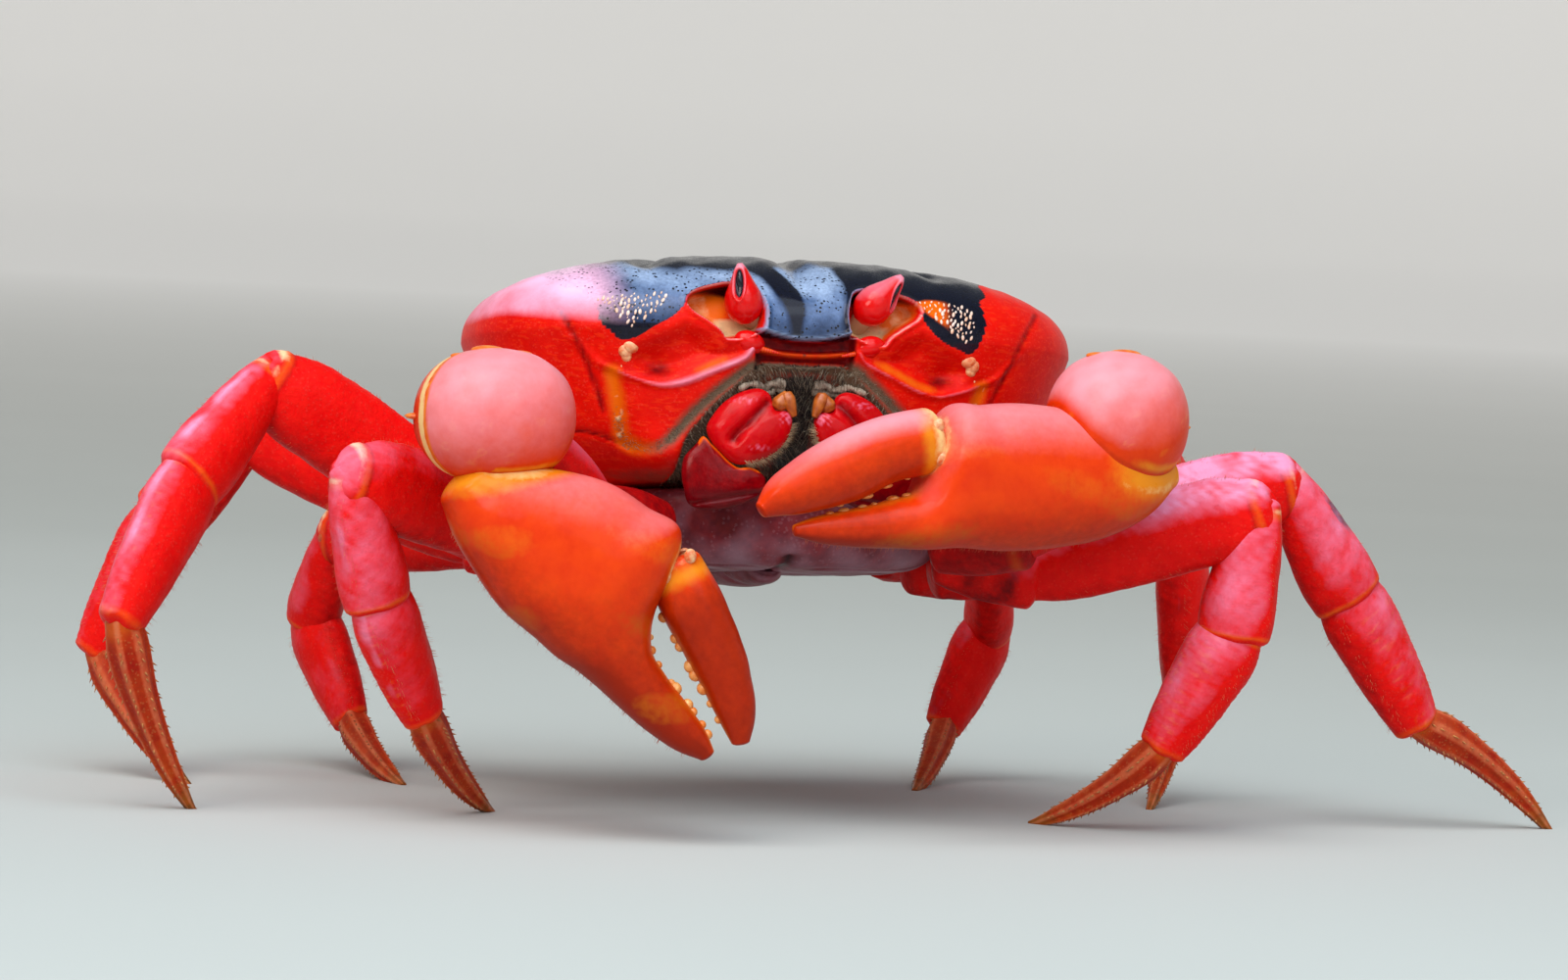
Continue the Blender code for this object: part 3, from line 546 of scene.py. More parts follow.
def lobe_edge(ax):
    """height of the lower edge of the front lobe, a parabola"""
    return 0.3 + 1.4 * (ax / 7.6) ** 2


def lobe_ridge(ax):
    """height of the small ridge under the front lobe, a parabola"""
    return -2.0 + 0.7 * (ax / 8) ** 2


# how deep the hollows of the face are, and how far its raised forms stand out
ORBIT_DEEP, ORBIT_RIM, BASIN_DEEP, BASIN_PIT, MOUTH_EDGE, MOUTH_DEEP = 4.6, 0.4, 2.0, 1.0, 1.8, 2.1
CREST_HIGH, RIDGE_HIGH, LOBE_HIGH, LOBE_LIP, UNDER_LOBE, JAW_HIGH = 0.6, 1.3, 0.7, 0.4, 2.0, 3.2
BAND_DEEP, SUTURE_DEEP, CREASE_DEEP = 0.55, 0.4, 0.3


def face_push(x, z):
    """how far the face is pushed in: a smooth step at each outline's edge and a bell across each line"""
    ax = np.abs(x)
    edge = lobe_edge(ax)
    orbit, basin, mouth = (inside(ax, z, loop) for loop in (ORBIT, BASIN, MOUTH_FIELD))
    push = ORBIT_DEEP * step(orbit, -0.1, 1.3) - ORBIT_RIM * bump(orbit, -0.25, 0.3)
    push += BASIN_DEEP * step(basin, -0.2, 3.4) + BASIN_PIT * bump(ax, 23.0, 3.2) * bump(z, -4.6, 2.0)
    push -= CREST_HIGH * bump(beside(ax, z, CREST), 0, 0.42)
    push += MOUTH_EDGE * step(mouth, 0, 1.8) + MOUTH_DEEP * step(mouth, 1.6, 4.5)
    push += UNDER_LOBE * step(8.4 - ax, 0, 1.0) * step(edge - z, 0, 0.45) * (mouth < 0.8)
    push -= RIDGE_HIGH * bump(z, lobe_ridge(ax), 0.42) * step(7.6 - ax, 0, 1.2)
    lobe = step(8.2 - ax, 0, 1.2) * step(z, edge - 0.1, edge + 0.3) * (1 - step(z, 6, 12))
    push -= (LOBE_HIGH + LOBE_LIP * bump(z, edge + 0.3, 0.35)) * lobe
    push -= JAW_HIGH * bump(ax, 22.0, 4.6) * bump(z, -20.0, 4.6) * (1 - step(mouth, 0, 1.5))
    for line, deep, half in ((BAND, BAND_DEEP, 1.0), (SUTURE, SUTURE_DEEP, 0.35), (CREASE, CREASE_DEEP, 0.5)):
        push += deep * bump(beside(ax, z, line), 0, half)
    return push


def ahead_of(y):
    """1 on the front of the shell, falling to 0 over its shoulders"""
    return step(-y, 14, 22)


def back_drop(x, y):
    """grooves of the back: the median one at the front, the cervical pair, two round the heart, one across"""
    ax = np.abs(x)
    median = 1.2 * bump(x, 0, 1.9) * (1 - step(y, -12, -2))
    line = 12.0 + 12.0 * step(-y, -4, 22)
    cervical = 1.2 * bump(ax, line, 2.0) * step(y, -28, -20) * (1 - step(y, 6, 12))
    heart = 0.9 * bump(ax, 11.5, 1.9) * step(y, 6, 12) * (1 - step(y, 26, 34))
    cross = 0.6 * bump(y, 8 + 0.02 * x ** 2, 1.8) * (1 - step(ax, 8, 13))
    return median + cervical + heart + cross


def face_place(x, z, lift=0.0):
    """world place and outward direction on the finished face at a width and height of the body frame"""
    def at(x, z):
        y = front_y(x - FACE_SHIFT, z)
        return np.stack([x - FACE_SHIFT, y + ahead_of(y) * face_push(x, z), z], -1)
    p = at(x, z)
    h = 0.3
    n = unit(np.cross(at(x + h, z) - at(x - h, z), at(x, z + h) - at(x, z - h)))
    n = n * np.where(n[..., 1:2] > 0, -1, 1)
    return body_to_world(p + n * lift), body_to_world(p + n) - body_to_world(p)


def shell_masks(x, y, z, fx, ahead):
    """painted masks of the shell: smooth steps across its outlines, bells along its lines, wobbly fields"""
    ax, side = np.abs(fx), np.where(fx > 0, 1, -1)
    face = ahead * (z < 14.6)
    here = np.stack([x, y, z], -1)
    grain, broad, mottle = wobble(here, 5.0, 3), wobble(here, 14.0, 11), wobble(here, 3.0, 21)
    orbit, mouth = inside(ax, z, ORBIT), inside(ax, z, MOUTH_FIELD)
    lobe = lobe_edge(ax)
    # black upper shell: above a line on the face, and fading towards the rear and the flanks
    spread = ax + (1 - ahead) * (1.8 * grain + 0.9 * mottle) + 0.5 * mottle * step(ax, 27, 31)
    edge = np.where(side < 0, *(ease(spread, *np.array(DARK_EDGE[k]).T) for k in (-1, 1)))
    soft = 0.3 + 1.5 * step(ax, 29, 40)
    rear = np.hypot(x / 44, np.maximum(y + 4, 0) / 32)
    dark = step((z - edge) / soft + 0.5 + 0.5 * grain * step(ax, 30, 36), 0, 1)
    dark *= 1 - step(rear + 0.10 * broad + 0.03 * mottle, 0.70, 1.06)
    dark *= 1 - step(orbit, -0.3, 0.0) * face
    inland = 1 - step(ax, 22, 25.5)
    patch = step(inside(ax, z, SPECKLES[1]), -0.4, 0.6) * (side > 0) * face * inland
    dark *= 1 - 0.85 * patch
    dark = np.maximum(dark, 0.9 * bump(fx, 0, 0.4) * bump(z, -1.9, 0.4) * face)
    # painted sky reflection on the front lobes, steel-blue and paler upwards; a dark wedge parts its halves
    wedge = np.interp(z, (1.5, 3.2, 7.1, 11.4, 14.0), (-2.3, -2.6, -4.2, -6.6, -9.0)) + 0.3 * mottle
    inner_side = np.interp(z, (1.6, 4.9, 9.1, 12.7), (-1.3, -0.6, -0.9, -4.0))
    right = step(fx, inner_side - 0.5, inner_side + 0.7) * (1 - step(fx + 0.4 * mottle, 5.2, 7.2))
    left = (1 - step(fx, wedge - 1.8, wedge + 0.4)) * (1 - step(-fx, 24, 36))
    rim_z = lobe_edge(np.minimum(ax, 8))
    sheen = (right + left) * (0.5 + 0.5 * step(z, rim_z + 1.0, rim_z + 5.0)) * step(z, rim_z, rim_z + 0.8)
    upper = z + 0.3 * grain + np.interp(fx, (-36, -28, -22, -6, -2), (0, 0, 2.0, 2.0, 0))
    sheen *= (1 - step(upper, 12.4, 14.8)) * ahead * (orbit < -0.2)
    sheen *= step(dark, 0.4, 0.9) * (0.86 + 0.14 * mottle)
    sky_reflection = sheen * (0.3 + 0.7 * step(z + 0.8 * mottle, 5.5, 11.0)) * (0.85 + 0.2 * broad)
    # painted highlight: a pale blue line along the front lobe's lip and the orbits' inner rims
    lobe_lip = bump(z, lobe + 0.2, 0.24) * step(8.2 - ax, 0, 0.8) * face
    inner_lip = bump(orbit, 0.0, 0.2) * step(11.0 - ax, 0, 2.0) * step(z, 0.5, 2.5) * face
    lip = np.clip(lobe_lip + inner_lip, 0, 1)
    sheen, sky_reflection = np.maximum(sheen, 0.9 * lip), np.maximum(sky_reflection, 0.7 * lip)
    # painted shade in dark red under the front lobe, in the basin's pit and at the orbit's roof
    under = step(8.6 - ax, 0, 0.6) * step(lobe - z, 0, 0.3) * face * (mouth < 0.3)
    ridge = bump(z, lobe_ridge(ax), 0.34) * step(8 - ax, 0, 1) * face
    pit = bump(ax, 23.2, 2.2) * bump(z, -5.0, 1.2) * face
    roof = step(orbit, 0.1, 0.7) * step(z, 6.2, 7.6) * face
    deep = np.clip(0.8 * under * (1 - ridge) + 0.75 * pit + roof, 0, 1)
    # dark red lines along the crease and the suture
    deep = np.maximum(deep, 0.6 * bump(beside(ax, z, CREASE), 0, 0.5) * face)
    deep = np.maximum(deep, 0.7 * bump(beside(ax, z, SUTURE), 0, 0.25) * face)
    # orange hollows, bands and shelf
    band = beside(ax, z, BAND)
    groove = bump(band, 0, 1.15) * face
    near = 1 - step(ax, 20, 27)
    crest = bump(beside(ax, z, CREST[3:]), 0, 0.3) * face * (0.7 + 0.3 * wobble(here, 2.5, 6))
    shelf = bump(beside(ax, z - 1.1, CREST[5:]), 0, 0.7) * (1 - step(ax, 20, 24)) * step(ax, 10.5, 13) * face
    lining = step(orbit, 0.3, 0.9) * (1 - step(z, 7.0, 8.2)) * step(ax, 11, 13.5) * face
    inner = shelf * (0.9 + 0.3 * grain) * np.where(side > 0, 1, 0.8 * bump(ax, 15, 2.6))
    # pale rims
    rim = bump(orbit, 0.05, 0.2) * face * (1 - inner_lip)
    socket = step(orbit, 0.4, 1.2) * (1 - step(z, 2.6, 4.6)) * (1 - step(ax, 13, 15.5)) * face
    dots = 0.7 * bump(band, 0, 0.7) * (ax > 27) * step(wobble(here, 0.9, 17), 0.1, 0.6) * face
    # dark middle of the mouth, and the brown of its setae
    low = step(-z, 19.5, 22) * face * (ax > 20)
    middle = bump(fx, 0, 5.0) * step(mouth, 1.0, 3.0) * face
    hair = step(mouth, 0.1, 0.8) * face * (1 - 0.7 * middle) + groove * near + 0.6 * low + 0.35 * socket
    # painted sky sheen: rose on the right shoulder, and a band along the crest beside it
    line = 1.2 + 0.12 * (ax - 26) + 0.5 * broad
    behind = 1 - step(y + 4 * broad, -10, 12)
    shoulder = step(z, line - 0.9, line + 1.6) * step(ax, 25, 35) * behind * (side < 0)
    shoulder *= 0.44 + 0.5 * bump(ax, 36, 8.0) * step(z, 3.0, 9.0) + 0.08 * mottle
    sheen_amount = 0.26 * bump(beside(ax, z - 0.1, CREST[5:]), 0, 0.8) * (side < 0) * (1 - step(ax, 19, 27)) * face
    return {"dark": np.maximum(dark, 0.9 * middle), "sheen": 0.9 * sheen, "sky_reflection": 0.95 * sky_reflection, "deep": deep,
            "orange": lining + groove * (1 - near) + inner + patch + 0.5 * ridge, "hair": hair,
            "cream": 0.9 * socket + dots + 0.5 * rim + 0.4 * lining * step(ax, 13.5, 16),
            "pale": shoulder + 0.25 * crest + 0.3 * rim + sheen_amount}


# the shell's grid: its columns crowd in front, its rings on the face; the share of rings above each tilt
SHELL_RINGS, SHELL_COLUMNS, CROWDING = 226, 430, 0.58
RING_SHARES, RING_TILTS = (0, 0.26, 0.80, 1.0), np.radians((89.2, 48, -46, -89.2))


def build_carapace():
    """the bare shell, its face pushed in and its back dropped by the grooves, with a slight grain on top"""
    j = around(SHELL_COLUMNS)
    tilts = np.interp(np.linspace(0, 1, SHELL_RINGS), RING_SHARES, RING_TILTS)
    phi, tilt = np.meshgrid(j - CROWDING * np.sin(j), tilts)
    x, y, z = shell_base(phi, tilt)
    ahead, fx = ahead_of(y), x + FACE_SHIFT
    grain = wobble(np.stack([x, y, z], -1), 5.0, 3)
    high = z - step(z, 6, 10) * back_drop(fx, y) - 0.10 * grain * step(z, 4, 9)
    skin = Skin().grid(body_grid(x, y + ahead * face_push(fx, z), high), **shell_masks(x, y, z, fx, ahead))
    make_piece("carapace_shell", skin, SHELL, ["carapace"])


SPECKLE_COUNT, SPECKLE_GAP = 70, 0.62
# worn knobs of the shell's outer corner: distance from the middle, height, and radius along each axis
CORNER_KNOBS = ((28.0, -1.7, 1.3, 0.75, 1.1), (28.8, -2.3, 1.2, 0.7, 1.2), (28.5, -3.1, 0.9, 0.6, 1.0),
                (29.3, -4.6, 0.35, 0.4, 0.5))


def scatter(loop, count, gap, sign):
    """places inside an outline that keep a least distance, drawn in a fixed random order"""
    loop = np.array(loop)
    lo, hi = loop.min(0), loop.max(0)
    kept = []
    for p in rng.uniform(lo, hi, (count * 12, 2)):
        if len(kept) < count and all(np.hypot(*(p - q)) > gap for q in kept):
            if inside(p[:1], p[1:], loop)[0] > 0.2:
                kept.append(p)
    kept = np.array(kept)
    return kept[:, 0] * sign, kept[:, 1]


def build_speckles():
    """raised pale flecks of the two patches beside the eyes, and the worn knobs at each outer corner"""
    skin = Skin()
    for sign in (-1, 1):
        x, z = scatter(SPECKLES[sign], SPECKLE_COUNT, SPECKLE_GAP, sign)
        p, n = face_place(x, z)
        s = unit(np.cross(n, np.stack([rng.normal(0.3, 0.3, len(x)), 0 * x, 1 + 0 * x], 1)))
        axes = np.stack([s, np.cross(n, s), n], 1)
        long = rng.uniform(0.18, 0.55, len(x))
        radii = np.stack([long * rng.uniform(0.4, 0.6, len(x)), long, 0.16 + 0 * x], 1)
        skin.knobs(p, radii, axes)
    make_piece("shell_speckles", skin, SPECK)
    skin = Skin()
    corner = np.array(CORNER_KNOBS)
    for sign in (-1, 1):
        p, _ = face_place(corner[:, 0] * sign, corner[:, 1], -0.35)
        skin.knobs(p, corner[:, 2:], rings=9, cols=14)
    make_piece("corner_knobs", skin, KNOB)


# Eyes
# by side: stalk root, bulb middle and tip in the body's frame, and how far the cornea is turned outwards
EYES = {
    1: ((8.6, -29.0, 3.0), (10.5, -32.4, 6.4), (15.1, -33.8, 11.6), radians(50)),
    -1: ((-7.2, -29.0, 3.0), (-10.8, -32.6, 5.9), (-11.8, -33.6, 12.4), radians(30)),
}
# the bulb's half width and its drop: radii at fractions of its height; then stations of stalk and antenna
EYE_WIDE = 3.1
EYE_WAY = (0, 0.08, 0.2, 0.32, 0.42, 0.505, 0.6, 0.7, 0.78, 0.856, 0.94, 1.0)
EYE_RADII = np.array((0.3, 0.66, 0.93, 1.0, 0.98, 0.92, 0.78, 0.62, 0.5, 0.4, 0.26, 0.12)) * EYE_WIDE
EYE_STALK = ((0, 1.5, 1.5, 1.5), (1, 1.9, 1.9, 1.9))
FLAG = ((0, 0.5, 0.5, 0.5), (0.6, 0.35, 0.35, 0.35), (1, 0.2, 0.2, 0.2))


def limb_surface(a, b, up_dir, stations, rings=44, cols=36, expo=2.4, bow=0.0, dome=0.45):
    """a superellipse carried from a to b through the stations, bowed by a parabola and domed at both ends"""
    a, b = np.asarray(a, float), np.asarray(b, float)
    axis, length = unit(b - a), np.linalg.norm(b - a)
    up = unit(up_dir - np.dot(up_dir, axis) * axis)
    side = np.cross(axis, up)
    st = np.array(stations, float)
    t = np.linspace(0.12, pi / 2, 7)[:-1]
    first, last = st[0], st[-1]
    low = first[0] - dome * first[3] / length * np.cos(t)
    high = last[0] + dome * last[3] / length * np.cos(t[::-1])
    f = np.concatenate([low, np.linspace(first[0], last[0], rings), high])
    scale = np.concatenate([np.sin(t), np.ones(rings), np.sin(t[::-1])])
    size = ease(np.clip(f, first[0], last[0]), st[:, 0], st[:, 1:]) * scale[:, None]
    ang = around(cols)
    x = size[:, 2:3] * spow(np.cos(ang), 2 / expo)
    y = spow(np.sin(ang), 2 / expo)
    y = np.where(y > 0, y * size[:, 0:1], y * size[:, 1:2])
    mid = a + axis * (f * length)[:, None] + up * (bow * length * 4 * f * (1 - f))[:, None]
    points = mid[:, None] + x[..., None] * side + y[..., None] * up
    return points, f[:, None], np.broadcast_to(ang, points.shape[:2]), (axis, up, side)


def away(points):
    """outward directions of a closed grid, from the cross product of its two steps"""
    along = np.gradient(points, axis=0)
    across = np.roll(points, -1, 1) - np.roll(points, 1, 1)
    n = unit(np.cross(across, along))
    out = points - points.mean(axis=1, keepdims=True)
    return n * np.where((n * out).sum(-1, keepdims=True) < 0, -1, 1)


def sky(points, low=0.0, high=0.9, way=(0, 0, 1)):
    """how far a place faces up, or along another direction"""
    return step(away(points) @ unit(way), low, high)


def build_eyes():
    """rings whose radius follows a drop; the cornea is a long dish sunk in one side between rounded lips"""
    for side, sign in SIDES:
        root, bulb, tip = (body_to_world(p) for p in EYES[sign][:3])
        axis, turn = unit(tip - bulb), EYES[sign][3]
        height = np.linalg.norm(tip - bulb) + EYE_WIDE
        t = np.linspace(0, 1, 80)[:, None]
        a = around(96)
        spot = np.array((sign * sin(turn), -cos(turn), 0.0))
        spot = unit(spot - axis * np.dot(spot, axis))
        across = np.cross(axis, spot)
        ring = np.cos(a)[:, None] * spot + np.sin(a)[:, None] * across
        mid = bulb + axis * (t * height - EYE_WIDE)
        r = ease(t[:, 0], EYE_WAY, EYE_RADII)[:, None]
        # distance from the cornea's outline: a long oval between the upper bulb and the tip
        oval = np.hypot(turned(a, 0) * r / 0.95, (t - 0.68) * height / 2.6)
        dish = 1 - step(oval, 0.72, 1.0)
        lip = bump(oval, 1.08, 0.16)
        points = mid[:, None] + (r * (1 - 0.30 * dish) + 0.16 * lip)[..., None] * ring
        # painted sky reflection where the bulb faces up, strong on the left eye and faint on the right
        sky_reflection = sky(points, 0.1, 0.95) * (1 - dish) * (0.6 if sign > 0 else 0.06)
        pale = 0.5 * lip * step(t, 0.4, 0.6) + 0.8 * step(t, 0.88, 0.98) + sky_reflection
        skin = Skin().grid(points, pale=pale, dark=dish)
        skin.grid(limb_surface(root, bulb - axis * 1.2, (0, -1, 0.3), EYE_STALK, 10, 24, 2.0)[0], cream=0.8)
        make_piece("eye_bulb_" + side, skin, EYE, ["eye_" + side])
        c = bulb + axis * (0.66 * height - EYE_WIDE) + spot * 0.72
        lens = Skin().knobs(c, (0.72, 0.95, 2.15), np.stack([across, spot, axis])[None], 20, 24)
        make_piece("cornea_" + side, lens, CORNEA)


def build_antennae():
    """two ellipsoids beside the front lobe, and the short antenna, a tapered rod folded under it"""
    for side, sign in SIDES:
        tilt = radians(-16) * sign
        axes = np.array([(cos(tilt), 0, -sin(tilt)), (0, 1, 0), (sin(tilt), 0, cos(tilt))])[None]
        skin = Skin().knobs(body_to_world((sign * 9.9, -33.2, -0.2)), (2.65, 1.7, 1.85), axes, 20, 28)
        skin.knobs(body_to_world((sign * 12.4, -32.0, -1.4)), (1.3, 1.3, 1.0), axes, 10, 16, orange=0.8)
        root, tip = body_to_world(((sign * 8.2, -33.6, -1.2), (sign * 5.2, -34.2, -1.9)))
        flag, f, _, _ = limb_surface(root, tip, (0, -1, 0.2), FLAG, 24, 16, 2.0)
        skin.grid(flag, orange=0.6 * (np.sin(f * 50) > 0))
        make_piece("antenna_lobe_" + side, skin, EYE, ["antenna_" + side])


# Mouth
# outlines of its two cushions on each side, and the furrow across the upper one
BEAN = ((17.3, -14.2), (16.3, -12), (14.4, -9.7), (11.8, -8.1), (9.2, -7.5), (7.5, -8.2), (6.8, -9.6),
        (6.3, -10.9), (4.6, -11.0), (3.7, -12), (3.8, -14), (4.8, -16.3), (6.4, -17.9), (8.4, -19.1),
        (11, -19.8), (13, -19.6), (14.7, -18.2), (16.4, -16.4))
FURROW = ((7.9, -10.0), (9.5, -11.7), (11.1, -13.4), (12.3, -14.6), (13.3, -15.9))
ISCHIUM = ((17.7, -15.4), (18.9, -16.8), (20.6, -18.8), (21, -21.3), (20.6, -23.8), (19.7, -26.4),
           (16.7, -27.2), (12.8, -26.6), (8.8, -24.8), (7.6, -22.4), (8.6, -20.9), (10.2, -20.2),
           (12, -20.3), (13.6, -19.3), (14.9, -18), (16.4, -16.6))
BEAN_Y, ISCHIUM_Y, CUSHION_BACK = -32.4, -31.4, 1.8
# how far the cushions of each side sit towards the middle
INWARD = {"R": 1.0, "L": 2.6}
# the two lobes of a palp: ends in the body's frame and size, and the stations of one lobe
PALP_LOBES = (((5.4, -33.2, -10.4), (4.2, -33.8, -8.2), 0.95), ((4.2, -33.8, -8.4), (2.9, -34.0, -11.8), 0.8))
PALP_STATIONS = ((0, 1.2, 1.1, 1.2), (0.25, 1.5, 1.3, 1.4), (0.6, 1.2, 1.2, 1.1), (1, 0.6, 0.6, 0.6))


def plate(loop, y, thick, bulge, turn, rings=34, cols=110):
    """a cushion on an outline: rings shrink to the outline's middle while the front swells to a flat top"""
    p = rounded(loop, per=8)
    t = np.linspace(0, 1, cols + 1)[:-1] * len(p)
    rim = np.stack([np.interp(t, np.arange(len(p) + 1), np.append(p[:, k], p[0, k])) for k in (0, 1)], 1)
    mid = rim.mean(0)
    a = np.linspace(0.03, pi - 0.03, rings)
    xz = mid + (rim - mid) * np.sin(a)[:, None, None] ** 0.8
    c = spow(np.cos(a), 0.9)
    out = np.broadcast_to((np.where(c > 0, bulge, thick) * c)[:, None], xz.shape[:2])
    return xz[..., 0], xz[..., 1], y - out + turn * (xz[..., 0] - mid[0])


def build_maxillipeds():
    """the two cushions of each side, bells pressed in along their furrow and crease, and the small palp"""
    for side, sign in SIDES:
        inward = INWARD[side]
        x, z, y = plate(BEAN, BEAN_Y, CUSHION_BACK, 2.4, 0.12)
        front = y < BEAN_Y
        cut = bump(beside(x, z, FURROW), 0, 1.0)
        y = y + front * cut
        # painted highlights at three places, broken up by a wobble, and painted shade in the furrow
        spark = wobble(np.stack([x, y, z], -1), 0.5, 8)
        shine = bump(x, 4.9, 1.2) * bump(z, -12.4, 1.3) + 0.8 * bump(x, 11.4, 2.2) * bump(z, -9.7, 0.7)
        shine = (shine + 0.7 * bump(x, 9.3, 1.8) * bump(z, -17.2, 0.5)) * step(spark, -0.4, 0.5)
        bean = body_grid((x - inward) * sign, y, z)
        skin = Skin().grid(bean, deep=0.75 * cut ** 2 * front, pale=0.75 * shine)
        x, z, y = plate(ISCHIUM, ISCHIUM_Y, CUSHION_BACK, 1.3, 0.14)
        edge = inside(x, z, ISCHIUM)
        top = bump(edge, 0.15, 0.3) * (z > -21.2) * (x < 18.5)
        crease = bump(z, -25.3 - 0.2 * (x - 14), 0.35)
        low = body_grid((x - inward) * sign, y + 0.4 * crease * (y < -31), z)
        skin.grid(low, orange=0.8 * top, dark=0.7 * step(-z, 22.3, 24.5) * (edge < 9), deep=0.75 * (1 - top))
        make_piece("maxilliped_plates_" + side, skin, MOUTH, ["maxilliped_" + side])
        palp = Skin()
        for a, b, size in PALP_LOBES:
            ends = (np.array((a, b)) + (0.6 - inward, 0, 0)) * (sign, 1, 1)
            stations = np.array(PALP_STATIONS) * (1, size, size, size)
            palp.grid(limb_surface(*body_to_world(ends), (0, -1, 0.2), stations, 24, 24, 2.2)[0])
        make_piece("palp_" + side, palp, PALP)


def comb(x, z, long, thick, flow, name, finish, jitter=0.3):
    """setae lying on the face at given places, combed along given directions and standing off a little"""
    p, out = face_place(x, z)
    lean = np.stack([flow[0], np.full(len(x), -0.15), flow[1]], 1) + rng.normal(0, jitter, (len(x), 3))
    tips = p + unit(out * 0.45 + lean) * long[:, None]
    droop = np.stack([0 * x, 0 * x, -0.25 * long], 1)
    make_piece(name, Skin().hairs(p - out * 0.1, tips, thick, droop), finish)


SETAE_DRAWN, BAND_SETAE, FRINGE_HAIRS = 6500, 1500, 320


def build_mouth_hair():
    """setae over the mouth field run round the mouth in arcs, shorter ones fill the band under the cheeks"""
    x, z = rng.uniform(-20.5, 20.5, SETAE_DRAWN), rng.uniform(-28, -3.0, SETAE_DRAWN)
    keep = inside(np.abs(x), z, MOUTH_FIELD) > 0.15
    x, z = x[keep], z[keep]
    ax = np.abs(x)
    flow = np.stack([-np.sign(x) * np.clip(0.5 - 0.06 * (ax - 4), 0.1, 0.9), -0.9 + 0.05 * ax])
    long = rng.uniform(0.9, 2.2, len(x)) * (0.7 + 0.7 * bump(x, 0, 6))
    black = rng.uniform(0, 1, len(x)) < 0.15 + 0.6 * bump(x, 0, 5)
    for part, name, finish in ((black, "mouth_setae_dark", UMBER), (~black, "mouth_setae", BROWN)):
        comb(x[part], z[part], long[part], 0.06, flow[:, part], name, finish)
    band, n = rounded(BAND[2:], closed=False, per=26), BAND_SETAE
    at = band[rng.integers(0, len(band), n)] + rng.normal(0, 0.5, (n, 2))
    side = np.where(np.arange(n) % 2, 1, -1)
    flow = (-0.7 * side, np.full(n, 0.5))
    long = rng.uniform(0.4, 1.0, n)
    comb(at[:, 0] * side, at[:, 1], long, 0.045, flow, "band_setae", BROWN, 0.5)


def build_mouth_beads():
    """two wavy rows of ellipsoids on each side, smaller outwards"""
    skin = Skin()
    t = np.linspace(0, 1, 26)
    for sign in (-1, 1):
        for row in range(2):
            cx = sign * (2.6 + (7.9 - 3.0 * row) * t + 0.3 * np.sin(t * 9))
            cz = -6.0 - 1.0 * t + 0.25 * np.sin(t * 11) - 0.9 * row
            p, _ = face_place(cx, cz, 0.5)
            size = (0.62 + 0.14 * np.sin(t * 23 + row)) * (1 - 0.3 * t)
            skin.knobs(p, np.stack([0.6 * size, size, 1.2 * size], 1), rings=6, cols=10)
    make_piece("mouth_beads", skin, BEAD)


def build_mouth_fringe():
    """pale hairs along the inner edge of each upper cushion, leaning to the middle"""
    edge, n = np.array(BEAN[10:15]), FRINGE_HAIRS
    for side, sign in SIDES:
        at, t = rng.uniform(0, len(edge) - 1, n), np.arange(len(edge))
        x, z = (np.interp(at, t, edge[:, k]) + 0.5 for k in (0, 1))
        root = np.stack([(x - INWARD[side]) * sign, rng.uniform(-33.6, -31.8, n), z], 1)
        lean = np.stack([np.full(n, -0.8 * sign), np.full(n, -0.25), 0.25 - 0.28 * at], 1)
        tips = root + unit(lean + rng.normal(0, 0.16, (n, 3))) * rng.uniform(1.3, 2.4, (n, 1))
        hairs = Skin().hairs(body_to_world(root), body_to_world(tips), 0.05)
        make_piece("mouth_fringe_" + side, hairs, FRINGE)


# Underside
# levels of the sternum: height in front and behind, share of its half width and of its half length
STERNUM_HALF, STERNUM_LEN, STERNUM_Y = 31.0, 28.0, 3.0
STERNUM_LEVELS = ((-22.8, -22.8, 0.5, 0.55), (-22.8, -22.8, 0.86, 0.9), (-24.2, -24.2, 0.98, 1.0),
                  (-31.0, -29.5, 0.95, 0.98), (-34.6, -31.6, 0.84, 0.88), (-35.6, -32.6, 0.62, 0.7),
                  (-35.9, -32.9, 0.3, 0.34), (-36.0, -33.0, 0.05, 0.06))
# the folded line of the pleon: place along the body, height and half width; then the sternum's sutures
PLEON_LINE = ((41.2, -5, 15), (40.6, -11, 14), (38.6, -18, 12), (34.4, -25, 10.5), (30, -30.4, 9.5),
              (24, -33.4, 8.6), (12, -34.9, 6.8), (0, -35.5, 4.8), (-9, -35.6, 2.6))
SUTURES_Y = (-16, -7, 3, 13, 22)
# powers of the superellipses of the sternum's oval and of a pleon plate's section, and how many plates
STERNUM_POWER, PLATE_POWER, PLATES = 2.8, 2.6, 7


def build_sternum():
    """a squared oval carried down its levels, with a suture between each pair of leg roots"""
    a = around(180)
    lv = np.array(STERNUM_LEVELS)
    lv = ease(np.linspace(0, len(lv) - 1, 60), np.arange(len(lv)), lv)
    along = lv[:, 3:] * spow(-np.cos(a), 2 / STERNUM_POWER)
    x = STERNUM_HALF * lv[:, 2:3] * spow(np.sin(a), 2 / STERNUM_POWER)
    y = STERNUM_Y + STERNUM_LEN * along
    z = lv[:, 0:1] + (lv[:, 1:2] - lv[:, 0:1]) * (along + 1) / 2
    cut = sum(bump(y, s + 0.012 * x ** 2 - 3, 0.7) for s in SUTURES_Y)
    cut = cut * step(np.abs(x), 3, 9) * step(-z, 28, 31)
    median = bump(x, 0, 0.8) * step(-z, 33, 34)
    w = wobble(np.stack([x, y, z], -1), 3.0, 31)
    lines = np.clip(cut + median, 0, 1)
    skin = Skin().grid(body_grid(x, y, z + 0.8 * cut + 0.7 * median + 0.1 * w), dark=0.7 * lines,
                       pale=(0.05 + 0.4 * step(-z, 28, 35) + 0.25 * w) * (1 - lines))
    make_piece("sternum_plates", skin, UNDER, ["sternum"])


